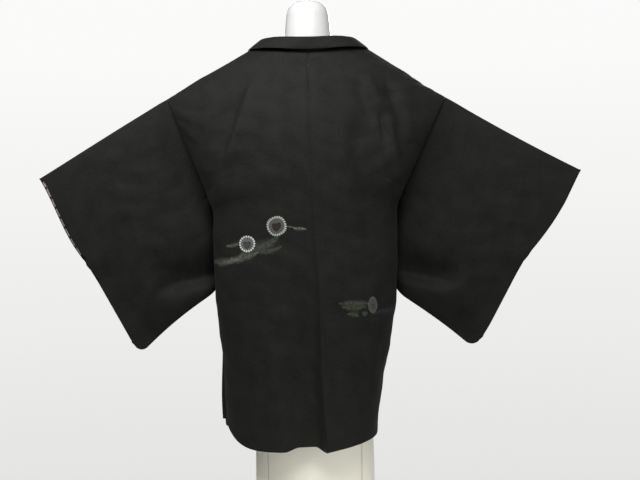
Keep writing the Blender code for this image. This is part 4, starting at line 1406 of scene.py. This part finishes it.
RING_NAMES = ("height", "half_width", "back", "front")
TORSO_RINGS = Table(
    RING_NAMES,
    (
        (0.400, 0.127, 0.100, 0.100),
        (0.480, 0.127, 0.101, 0.100),
        (0.560, 0.126, 0.102, 0.101),
        (0.650, 0.130, 0.106, 0.104),
        (0.720, 0.140, 0.112, 0.108),
        (0.800, 0.151, 0.116, 0.112),
        (0.860, 0.149, 0.110, 0.110),
        (0.930, 0.136, 0.094, 0.106),
        (1.000, 0.128, 0.084, 0.104),
        (1.080, 0.140, 0.092, 0.114),
        (1.160, 0.156, 0.104, 0.124),
        (1.230, 0.166, 0.104, 0.114),
        (1.290, 0.174, 0.094, 0.098),
        (1.3215, 0.172, 0.085, 0.086),
        (1.3395, 0.162, 0.077, 0.077),
        (1.3505, 0.147, 0.071, 0.068),
        (1.3595, 0.126, 0.064, 0.062),
        (1.3655, 0.106, 0.060, 0.058),
        (1.3705, 0.082, 0.056, 0.056),
        (1.377, 0.064, 0.054, 0.053),
        (1.390, 0.053, 0.051, 0.050),
    ),
)
NECK_RINGS = round_rings(
    (1.3903, 0.0500), (1.412, 0.0490), (1.435, 0.0470), (1.455, 0.0440),
    (1.466, 0.0380), (1.473, 0.0280), (1.4765, 0.0150), (1.4775, 0.0020),
)  # fmt: skip


# ---------------------------------------------------------------- finishes
class Value:
    """A number or colour that nodes work out; sums and products of it are Math nodes."""

    def __init__(self, graph: "Graph", socket: bpy.types.NodeSocket) -> None:
        """Holds the graph and the socket that gives the value."""
        self.graph = graph
        self.socket = socket

    def __add__(self, other: "Value | float") -> "Value":
        """The sum."""
        return self.graph.math("ADD", self, other)

    def __sub__(self, other: "Value | float") -> "Value":
        """The difference."""
        return self.graph.math("SUBTRACT", self, other)

    def __mul__(self, other: "Value | float") -> "Value":
        """The product."""
        return self.graph.math("MULTIPLY", self, other)

    def __abs__(self) -> "Value":
        """The value without its sign."""
        return self.graph.math("ABSOLUTE", self)


class Graph:
    """The nodes of a material or of the world, written as formulas."""

    def __init__(self, owner: Finish | bpy.types.World, shader: str = "Principled BSDF") -> None:
        """Starts the nodes of `owner`; `shader` names the one that waits for its inputs."""
        owner.use_nodes = True
        self.owner, self.tree = owner, owner.node_tree
        self.shader = self.tree.nodes[shader]

    def plug(self, socket: bpy.types.NodeSocket, value: object) -> None:
        """Links a value to a socket, or sets the socket to a plain number, vector or colour."""
        if isinstance(value, Value):
            self.tree.links.new(value.socket, socket)
        else:
            socket.default_value = (*value, 1.0) if socket.type == "RGBA" else value

    def add(
        self, kind: str, inputs: dict[int | str, object], output: int | str = 0, **settings: object
    ) -> Value:
        """Adds a node.

        Args:
            kind: The node's type.
            inputs: What goes into its sockets.
            output: The socket to hand back.
            settings: The node's own settings.

        Returns:
            The output.
        """
        node = self.tree.nodes.new(kind)
        for name, value in settings.items():
            setattr(node, name, value)
        for socket, value in inputs.items():
            self.plug(node.inputs[socket], value)
        return Value(self, node.outputs[output])

    def feed(self, **inputs: Value | float | Triple) -> None:
        """Feeds the shader's inputs; an underscore in a name is a space."""
        for name, value in inputs.items():
            self.plug(self.shader.inputs[name.replace("_", " ")], value)

    def math(self, operation: str, *values: Value | float) -> Value:
        """One sum of the Math node."""
        return self.add("ShaderNodeMath", dict(enumerate(values)), operation=operation)

    def ramp(self, value: Value, low: float, high: float, start: float = 0.0, end: float = 1.0) -> Value:
        """`start` below `low`, `end` above `high`, and an even curve between; low may lie above high."""
        inputs = {"Value": value, "From Min": low, "From Max": high, "To Min": start, "To Max": end}
        return self.add("ShaderNodeMapRange", inputs, "Result", interpolation_type="SMOOTHSTEP")

    def colour(self, share: Value | float, low: Value | Triple, high: Value | Triple) -> Value:
        """A mix of two colours."""
        return self.add("ShaderNodeMix", {0: share, 6: low, 7: high}, 2, data_type="RGBA")

    def noise(self, vector: Value, scale: Triple, detail: float = 2.0) -> Value:
        """Smooth noise of about `scale` spots a metre along each axis."""
        scaled = self.add("ShaderNodeMapping", {"Vector": vector, "Scale": scale})
        inputs = {"Vector": scaled, "Scale": 1.0, "Detail": detail, "Roughness": NOISE_ROUGHNESS}
        return self.add("ShaderNodeTexNoise", inputs)

    def bump(self, height: Value, distance: float, strength: float) -> None:
        """Turns a height into the shader's normal."""
        inputs = {"Height": height, "Distance": distance, "Strength": strength}
        self.feed(Normal=self.add("ShaderNodeBump", inputs, "Normal"))


@dataclass(frozen=True)
class Wheel:
    """A chrysanthemum wheel: a ring of petals round a dark heart with a heart-shaped leaf."""

    x: float
    z: float
    radius: float
    petals: int
    ring: Triple
    leaf: Triple
    squeeze: float = 1.0
    shown: float = 1.0
    leaf_size: float = 0.30
    leaf_drop: float = -0.20
    middle: float = 0.06
    line: float = 0.20
    scallop: float = 0.09
    ground: Triple = (0.008, 0.009, 0.007)
    ground_shown: float = 0.93
    border: Triple = (0.009, 0.008, 0.008)
    border_size: float = 1.35
    border_shown: float = 0.85
    rim: tuple[float, float] = (0.03, -0.02)
    line_lobe: tuple[float, float] = (0.30, 0.80)
    line_end: tuple[float, float] = (0.80, 0.70)
    tip_lobe: tuple[float, float] = (0.22, 0.58)
    tip_start: tuple[float, float] = (0.70, 0.84)
    leaf_rim: float = 0.05

    def paint(self, graph: Graph, uv: Value, place: tuple[Array, Array], under: Value) -> Value:
        """Paints the wheel over a colour.

        In the wheel's own plane, petals are where the cosine of half their count times the angle is large;
        they run from the hub to a scalloped edge, a faint line within and a bright tip.

        Args:
            graph: The material.
            uv: Cloth coordinates.
            place: The wheel's centre on the cloth, and the cloth's steps for x and for z.
            under: The colour below.

        Returns:
            The new colour.
        """
        centre, steps = place
        back = np.linalg.inv(steps) / np.array([self.radius * self.squeeze, self.radius])
        off = graph.add("ShaderNodeVectorMath", {0: uv, 1: (*centre, 0.0)}, operation="SUBTRACT")
        x, y = (
            graph.add("ShaderNodeVectorMath", {0: off, 1: (*row, 0.0)}, "Value", operation="DOT_PRODUCT")
            for row in back.T
        )
        local = graph.add("ShaderNodeCombineXYZ", {0: x, 1: y})
        reach = graph.add("ShaderNodeVectorMath", {0: local}, "Value", operation="LENGTH")
        lobe = abs(graph.math("COSINE", graph.math("ARCTAN2", y, x) * (self.petals / 2.0)))
        disc = graph.ramp(reach - (lobe * self.scallop + (1.0 - self.scallop)), *self.rim)
        inner = graph.ramp(lobe, *self.line_lobe) * self.line + self.middle
        inner = inner * graph.ramp(reach, *self.line_end)
        tip = graph.ramp(reach, *self.tip_start) * graph.ramp(lobe, *self.tip_lobe)
        petals = disc * graph.math("MAXIMUM", inner, tip)
        colour = graph.colour(disc * self.ground_shown, under, self.ground)
        colour = graph.colour(petals * self.shown, colour, self.ring)
        border = self.leaf_share(graph, x, y, self.leaf_size * self.border_size)
        colour = graph.colour(border * self.border_shown, colour, self.border)
        return graph.colour(self.leaf_share(graph, x, y, self.leaf_size) * self.shown, colour, self.leaf)

    def leaf_share(self, graph: Graph, x: Value, y: Value, size: float) -> Value:
        """1 inside the heart-shaped leaf, the curve (x2 + y2 - 1)3 = x2 y3, and 0 outside.

        Args:
            graph: The material.
            x: Places across the wheel.
            y: Places up the wheel.
            size: The leaf's size.

        Returns:
            The share.
        """
        x = x * (1.0 / size)
        y = (y - self.leaf_drop) * (1.0 / size)
        across, along = x * x, y * y
        inner = across + along - 1.0
        return graph.ramp(inner * inner * inner - across * along * y, self.leaf_rim, -self.leaf_rim)


@dataclass(frozen=True)
class Mist:
    """A streak of sprayed mist from one place to another, crisp below and soft above."""

    x0: float
    z0: float
    x1: float
    z1: float
    half: float
    above: float
    shown: float
    tone: Triple = (0.34, 0.37, 0.28)
    taper: float = 0.7
    swing: float = 1.1
    swing_grain: Triple = (70.0, 70.0, 1.0)
    dots: Triple = (800.0, 800.0, 1.0)
    patches: Triple = (190.0, 260.0, 1.0)
    dot_share: tuple[float, float, float, float] = (0.36, 0.64, 0.15, 1.0)
    patch_share: tuple[float, float, float, float] = (0.34, 0.62, 0.35, 1.0)
    core: float = 0.05
    end_fade: float = 0.12

    def paint(self, graph: Graph, uv: Value, start: Array, end: Array, under: Value) -> Value:
        """Paints the streak over a colour.

        Along the streak its width is a power of 4 t (1 - t); across it the paint fades from the middle.

        Args:
            graph: The material.
            uv: Cloth coordinates.
            start: One end on the cloth.
            end: The other end.
            under: The colour below.

        Returns:
            The new colour.
        """
        if end[0] < start[0]:
            start, end = end, start
        run = end - start
        turn = (0.0, 0.0, float(np.arctan2(run[1], run[0])))
        size = (float(np.hypot(*run)), self.half, 1.0)
        inputs = {"Vector": uv, "Location": (*start, 0.0), "Rotation": turn, "Scale": size}
        local = graph.add("ShaderNodeMapping", inputs, vector_type="TEXTURE")
        along, aside = (graph.add("ShaderNodeSeparateXYZ", {0: local}, axis) for axis in "XY")
        aside = aside + graph.noise(uv, self.swing_grain) * self.swing - self.swing / 2.0
        hill = along * graph.math("SUBTRACT", 1.0, along) * 4.0
        width = graph.math("POWER", graph.math("MAXIMUM", hill, 0.0001), self.taper)
        off = graph.math("MAXIMUM", aside * (1.0 / self.above), aside * -1.0)
        share = graph.ramp(graph.math("DIVIDE", off, width), 1.0, self.core)
        share = share * graph.ramp(hill, 0.0, self.end_fade)
        dots = graph.ramp(graph.noise(uv, self.dots, 1.0), *self.dot_share)
        patches = graph.ramp(graph.noise(uv, self.patches), *self.patch_share)
        return graph.colour(share * dots * patches * self.shown, under, self.tone)


@dataclass(frozen=True)
class Motif:
    """What is painted on one back panel; mists lie under the wheels."""

    mists: tuple[Mist, ...]
    wheels: tuple[Wheel, ...]


@dataclass(frozen=True)
class Crepe:
    """Black silk crepe: an irregular crinkled weave, low sheen and slightly uneven dye, with painted shade
    along its edges.
    """

    name: str
    dark: Triple = (0.0080, 0.0088, 0.0072)
    light: Triple = (0.0162, 0.0172, 0.0148)
    # Painted shade: a darker colour along the cloth's edges that stands in for the shade of its rolled
    # edges.
    rim_shade: Triple = (0.0055, 0.0060, 0.0050)
    rim_shade_share: float = 0.25
    crinkle: Triple = (650.0, 1500.0, 1.0)
    thread: Triple = (3200.0, 2600.0, 1.0)
    cloud: Triple = (34.0, 22.0, 1.0)
    speck: Triple = (330.0, 260.0, 1.0)
    tone_shares: Triple = (0.30, 0.30, 0.40)
    tone_range: tuple[float, float] = (0.34, 0.66)
    roughness: tuple[float, float] = (0.62, 0.78)
    specular: float = 0.12
    sheen: float = 0.015
    sheen_tint: Triple = (0.9, 0.95, 1.0)
    thread_share: float = 0.25
    relief: float = 0.00035
    bump: float = 0.8

    def dress(self, motif: Motif | None = None, panel: BodyPanel | None = None) -> Finish:
        """Makes the material.

        Args:
            motif: What is painted on it.
            panel: The panel that gives the motif its places.

        Returns:
            The material.
        """
        graph = Graph(bpy.data.materials.new(self.name))
        uv = graph.add("ShaderNodeUVMap", {}, uv_map="cloth")
        rim = graph.add("ShaderNodeAttribute", {}, "Fac", attribute_name="rim")
        crinkle, cloud = graph.noise(uv, self.crinkle), graph.noise(uv, self.cloud, 3.0)
        thread, speck = graph.noise(uv, self.thread, 1.0), graph.noise(uv, self.speck, 1.0)
        of_crinkle, of_cloud, of_speck = self.tone_shares
        tone = crinkle * of_crinkle + cloud * of_cloud + speck * of_speck
        colour = graph.colour(graph.ramp(tone, *self.tone_range), self.dark, self.light)
        # Painted shade: the colour turns darker within `rim_reach` of the cloth's edges.
        colour = graph.colour(rim * self.rim_shade_share, colour, self.rim_shade)
        if motif is not None and panel is not None:
            for mist in motif.mists:
                ends = panel.cloth_place(mist.x0, mist.z0)[0], panel.cloth_place(mist.x1, mist.z1)[0]
                colour = mist.paint(graph, uv, *ends, colour)
            for wheel in motif.wheels:
                colour = wheel.paint(graph, uv, panel.cloth_place(wheel.x, wheel.z), colour)
        roughness = graph.ramp(crinkle, *NOISE_RANGE, *self.roughness)
        graph.feed(Base_Color=colour, Roughness=roughness, Specular_IOR_Level=self.specular)
        graph.feed(Sheen_Weight=self.sheen, Sheen_Roughness=0.5, Sheen_Tint=self.sheen_tint)
        height = thread * self.thread_share + crinkle * (1.0 - self.thread_share)
        graph.bump(height, self.relief, self.bump)
        return graph.owner


@dataclass(frozen=True)
class Plain:
    """A plain finish with a fine grain on Object coordinates; `grain` is its spots a metre."""

    name: str
    colour: Triple
    shade: Triple
    roughness: tuple[float, float]
    grain: Triple
    relief: float
    metallic: float = 0.0
    specular: float = 0.5
    sheen: float = 0.0
    coat: float = 0.0
    coat_roughness: float = 0.08
    bump: float = 0.7
    cloud: Triple = (9.0, 9.0, 9.0)
    seam_x: float = 0.0
    seam_half: float = 0.0022
    seam_core: float = 0.0003
    seam_shade: Triple = (0.25, 0.22, 0.18)
    seam_share: float = 0.35
    seam_depth: float = 2.5

    def dress(self) -> Finish:
        """Makes the material, with a sewn seam down both sides where `seam_x` isn't 0."""
        graph = Graph(bpy.data.materials.new(self.name))
        place = graph.add("ShaderNodeTexCoord", {}, "Object")
        grain, cloud = graph.noise(place, self.grain), graph.noise(place, self.cloud, 3.0)
        colour = graph.colour(graph.ramp(cloud, *NOISE_RANGE), self.shade, self.colour)
        height = grain
        if self.seam_x:
            x = abs(graph.add("ShaderNodeSeparateXYZ", {0: place}, "X"))
            seam = graph.ramp(abs(x - self.seam_x), self.seam_half, self.seam_core)
            colour = graph.colour(seam * self.seam_share, colour, self.seam_shade)
            height = height - seam * self.seam_depth
        graph.feed(Base_Color=colour, Roughness=graph.ramp(grain, *NOISE_RANGE, *self.roughness))
        graph.feed(Metallic=self.metallic, Specular_IOR_Level=self.specular, Sheen_Weight=self.sheen)
        graph.feed(Coat_Weight=self.coat, Coat_Roughness=self.coat_roughness)
        graph.bump(height, self.relief, self.bump)
        return graph.owner


# ---------------------------------------------------------------- studio
@dataclass(frozen=True)
class Lamp:
    """A soft oblong lamp that points at a place."""

    name: str
    place: Triple
    toward: Triple
    size: tuple[float, float]
    watts: float
    spread: float = 180.0

    def build(self) -> None:
        """Makes the lamp; its -Z axis runs to the place."""
        light = bpy.data.lights.new(self.name, "AREA")
        light.shape, light.energy = "RECTANGLE", self.watts
        light.size, light.size_y = self.size
        light.spread = np.radians(self.spread)
        lamp = bpy.data.objects.new(self.name, light)
        away = unit(np.array(self.place) - np.array(self.toward))
        aside = unit(np.cross((0.0, 0.0, 1.0), away))
        turned = np.eye(4)
        turned[:3, :3] = np.stack([aside, np.cross(away, aside), away], axis=-1)
        turned[:3, 3] = self.place
        lamp.matrix_world = Matrix(turned.tolist())
        bpy.context.collection.objects.link(lamp)


@dataclass(frozen=True)
class Studio:
    """A pale floor, a bright surround that dims towards the ground, soft lamps and the camera."""

    floor_radius: float = 1.9
    floor_depth: float = 0.02
    floor_sides: int = 128
    ground: Triple = (0.76, 0.76, 0.75)
    sky: Triple = (0.955, 0.955, 0.95)
    dims_from: float = 0.16
    dims_to: float = -0.24
    room: Triple = (0.175, 0.175, 0.175)
    eye: Triple = (0.0185, -2.40, 0.963)
    lens: float = 62.78
    sensor: float = 36.0
    roll: float = -1.0
    lamps: tuple[Lamp, ...] = (
        Lamp("lamp_key", (-0.25, -0.90, 2.00), (0.0, 0.0, 1.15), (1.9, 0.4), 26.5),
        Lamp("lamp_fill", (2.2, -1.0, 1.3), (0.0, 0.0, 1.1), (0.8, 0.8), 6.0),
        Lamp("lamp_low", (0.20, -0.80, 0.20), (0.0, 0.0, 0.43), (0.4, 0.2), 0.3, 60.0),
        Lamp("lamp_front", (0.4, 2.3, 1.9), (0.0, 0.0, 1.0), (1.6, 1.0), 34.0),
    )

    def build(self) -> None:
        """Makes the floor, the surround, the lamps and the camera."""
        turn = full_turn(self.floor_sides)
        rim = np.stack([np.sin(turn), np.cos(turn), np.zeros_like(turn)], axis=-1) * self.floor_radius
        floor = closed_loft("floor", np.stack([rim - np.array([0.0, 0.0, self.floor_depth]), rim]))
        floor.data.materials.append(FLOOR.dress())
        self.build_surround()
        for lamp in self.lamps:
            lamp.build()
        camera = bpy.data.objects.new("camera", bpy.data.cameras.new("camera"))
        camera.data.lens, camera.data.sensor_width = self.lens, self.sensor
        level = Matrix.Rotation(QUARTER, 4, "X") @ Matrix.Rotation(np.radians(self.roll), 4, "Z")
        camera.matrix_world = Matrix.Translation(self.eye) @ level
        bpy.context.collection.objects.link(camera)
        bpy.context.scene.camera = camera

    def build_surround(self) -> None:
        """Makes the world: what shows of it dims towards the ground, a painted shade as of a wall lit from
        above, and its light is an even grey.
        """
        world = bpy.data.worlds.new("surround")
        bpy.context.scene.world = world
        bpy.context.scene.view_settings.view_transform = "Standard"
        graph = Graph(world, "Background")
        place = graph.add("ShaderNodeTexCoord", {}, "Generated")
        height = graph.add("ShaderNodeSeparateXYZ", {0: place}, "Z")
        limits = {"Value": height, "From Min": self.dims_to, "From Max": self.dims_from}
        # Painted shade: the surround seen by the camera is painted darker towards the ground.
        shown = graph.colour(graph.add("ShaderNodeMapRange", limits, "Result"), self.ground, self.sky)
        seen = graph.add("ShaderNodeLightPath", {}, "Is Camera Ray")
        graph.feed(Color=graph.colour(seen, self.room, shown))


# ---------------------------------------------------------------- the object's own sizes and finishes
FOLDS = {
    "body": (
        Fold(-0.108, 1.306, -0.198, 1.040, 0.013, 0.045, 0.0085),
        Fold(-0.117, 1.284, -0.168, 1.128, 0.008, 0.012, 0.0035),
        Fold(-0.148, 1.235, -0.180, 1.140, 0.020, 0.010, -0.004),
        Fold(0.098, 1.294, 0.128, 1.214, 0.012, 0.010, -0.0040, 0.20, 0.45),
        Fold(0.120, 1.300, 0.156, 1.228, 0.012, 0.011, 0.0062, 0.20, 0.45),
        Fold(0.162, 1.292, 0.194, 1.192, 0.011, 0.014, -0.0060, 0.30, 0.55),
        Fold(0.190, 1.272, 0.214, 1.179, 0.012, 0.030, 0.0030, 0.35, 0.65),
        Fold(0.164, 1.213, 0.186, 1.055, 0.040, 0.011, 0.0090, 0.10, 0.40),
        Fold(0.1545, 1.222, 0.1660, 1.140, 0.014, 0.007, -0.0050, 0.05, 0.50),
        Fold(0.1475, 1.232, 0.1560, 1.166, 0.0055, 0.0050, -0.0048, 0.20, 0.60),
        Fold(0.092, 1.215, 0.132, 0.940, 0.022, 0.055, -0.010),
        Fold(0.125, 0.860, 0.118, 0.600, 0.020, 0.016, 0.004),
        Fold(-0.085, 0.760, -0.070, 0.560, 0.020, 0.026, 0.003),
        Fold(-0.140, 0.900, -0.150, 0.650, 0.030, 0.020, -0.003),
        Fold(-0.0215, 1.339, 0.000, 1.329, 0.006, 0.006, -0.0036),
        Fold(0.001, 1.329, 0.035, 1.338, 0.006, 0.006, -0.0036),
    ),
    "sleeve_left": (
        Fold(-0.180, 0.904, -0.330, 0.868, 0.040, 0.022, -0.028, 0.15, 0.45),
        Fold(-0.180, 0.800, -0.360, 0.735, 0.055, 0.090, -0.018),
    ),
    "sleeve_right": (
        Fold(0.165, 0.903, 0.310, 0.868, 0.020, 0.040, -0.028, 0.15, 0.45),
        Fold(0.165, 0.800, 0.350, 0.735, 0.090, 0.060, -0.030),
    ),
}
SILVER = (0.42, 0.44, 0.40)
ROSE = (0.034, 0.022, 0.020)
MAUVE = (0.10, 0.08, 0.13)
MOTIFS = {
    "left": Motif(
        mists=(
            Mist(-0.206, 0.9150, -0.140, 0.9340, 0.0080, 1.5, 0.40),
            Mist(-0.185, 0.9225, -0.105, 0.9395, 0.0080, 1.5, 0.40),
            Mist(-0.150, 0.935, -0.062, 0.972, 0.0105, 1.5, 0.26),
            Mist(-0.118, 0.938, -0.058, 0.951, 0.0070, 1.3, 0.24),
            Mist(-0.176, 0.9535, -0.140, 0.961, 0.0048, 1.4, 0.46),
            Mist(-0.0520, 0.9925, -0.0290, 0.9880, 0.0030, 0.8, 0.50),
            Mist(-0.0370, 0.9875, -0.0080, 0.9835, 0.0062, 0.7, 0.72),
            Mist(-0.112, 0.950, -0.074, 0.956, 0.0090, 1.3, 0.30, MAUVE),
        ),
        wheels=(
            Wheel(-0.0696, 0.9930, 0.0205, 25, SILVER, ROSE, leaf_drop=-0.18),
            Wheel(-0.1312, 0.9577, 0.0170, 19, (0.60, 0.62, 0.59), (0.060, 0.066, 0.046), leaf_drop=-0.24),
        ),
    ),
    "right": Motif(
        mists=(
            Mist(0.052, 0.834, 0.122, 0.831, 0.0070, 1.2, 0.30, (0.36, 0.31, 0.27)),
            Mist(0.058, 0.826, 0.112, 0.822, 0.0110, 0.9, 0.34, (0.24, 0.30, 0.16)),
            Mist(0.070, 0.811, 0.104, 0.809, 0.0060, 1.2, 0.30, (0.28, 0.33, 0.20)),
            Mist(0.112, 0.812, 0.178, 0.808, 0.0110, 1.2, 0.46, MAUVE),
            Mist(0.116, 0.797, 0.140, 0.800, 0.0060, 1.2, 0.14, MAUVE),
        ),
        wheels=(
            Wheel(0.1070, 0.8112, 0.0130, 20, (0.014, 0.020, 0.014), (0.058, 0.049, 0.045),
                  shown=0.9, leaf_size=0.38, leaf_drop=-0.10),
            Wheel(0.1242, 0.8285, 0.0168, 24, (0.135, 0.125, 0.112), (0.05, 0.06, 0.04),
                  squeeze=0.55, middle=0.35, leaf_size=0.20),
        ),
    ),
}
GUSSET_CUTS = {"left": ((0.065, 0.484), 0.0182), "right": ((0.100, 0.508), 0.0265)}
HEM_ROW = 5
HEM_ENDS = slice(3, -3)
LINING = Plain("lining_pale", (0.66, 0.55, 0.50), (0.56, 0.46, 0.43), (0.4, 0.55), (1400.0,) * 3, 0.0001,
               sheen=0.2)
THREAD = Plain("thread_black", (0.02,) * 3, (0.012,) * 3, (0.35, 0.5), (4000.0,) * 3, 0.0001)
JERSEY = Plain("jersey_cream", (0.95, 0.925, 0.79), (0.90, 0.875, 0.745), (0.75, 0.9),
               (1300.0, 1300.0, 700.0), 0.0003, sheen=0.15, seam_x=0.098)
GLOSS = Plain("gloss_white", (0.72, 0.72, 0.71), (0.68, 0.68, 0.67), (0.18, 0.26), (40.0,) * 3, 0.00005,
              coat=0.6)
STEEL = Plain("steel_brushed", (0.60, 0.60, 0.61), (0.50, 0.50, 0.51), (0.22, 0.38), (900.0, 900.0, 14.0),
              0.00004, metallic=1.0)
PAINT = Plain("paint_white", (0.78, 0.78, 0.77), (0.72, 0.72, 0.71), (0.30, 0.42), (500.0,) * 3, 0.00005,
              coat=0.2)
FLOOR = Plain("floor_pale", (0.80, 0.80, 0.78), (0.76, 0.76, 0.74), (0.55, 0.7), (60.0,) * 3, 0.0002)
POLE_RINGS = round_rings((0.0163, 0.016), (0.3997, 0.016))
SOCKET_RINGS = round_rings((0.0163, 0.0225), (0.050, 0.0225))
BASE_RINGS = round_rings((0.0, 0.190), (0.016, 0.190))


def report(piece: Piece) -> None:
    """Reports a piece's size in points and faces."""
    LOG.info("%s: %d points, %d faces", piece.name, len(piece.data.vertices), len(piece.data.polygons))


def build_jacket() -> None:
    """Builds the cloth pieces and the threads that show on them."""
    crepe, pale, thread = Crepe("crepe_black").dress(), LINING.dress(), THREAD.dress()
    shapes = BodyShape(LEFT), BodyShape(RIGHT)
    for shape in shapes:
        side = shape.side
        panel = BodyPanel(shape, FOLDS["body"])
        painted = Crepe("crepe_painted_" + side.name).dress(MOTIFS[side.name], panel)
        report(panel.build(painted, crepe))
        report(Gusset(panel, *GUSSET_CUTS[side.name]).build(crepe))
        sleeve = Sleeve(shape, FOLDS["sleeve_" + side.name])
        report(sleeve.build(crepe))
        for layer in Layer:
            report(sleeve.build_facing(layer, pale))
        report(sleeve.build_loops(thread))
        hem = side.to_world(panel.outer[HEM_ROW, HEM_ENDS], -panel.inward[HEM_ROW, HEM_ENDS])
        report(Stitches("hem_stitches_" + side.name, *hem, spacing=0.028, length=0.0014).build(thread))
    report(Collar(shapes).build(crepe))


def build_form_and_stand() -> None:
    """Builds the form's trunk and neck cap, and the pole and round base below them."""
    trunk = Turned("form_trunk", ("form_torso",), "cream_jersey", TORSO_RINGS, 0.006, roundness=0.92,
                   eased_z=1.27, ease=0.001)
    report(trunk.build(JERSEY.dress()))
    cap = Turned("form_cap", ("form_neck",), "white_gloss", NECK_RINGS, 0.0008, step=0.003)
    report(cap.build(GLOSS.dress()))
    pole = Turned("pole_tube", ("stand_pole",), "pole_steel", POLE_RINGS, 0.001, step=0.02)
    report(pole.build(STEEL.dress()))
    paint = PAINT.dress()
    report(Turned("pole_socket", (), "base_paint", SOCKET_RINGS, 0.003, step=0.008).build(paint))
    base = Turned("base_plate", ("stand_base",), "base_paint", BASE_RINGS, 0.004, step=0.004, sides=160)
    report(base.build(paint))


def main() -> None:
    """Builds the jacket, the form, the stand and the studio."""
    logging.basicConfig(level=logging.INFO, format="%(message)s")
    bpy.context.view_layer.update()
    build_jacket()
    build_form_and_stand()
    Studio().build()


if __name__ == "__main__":
    main()
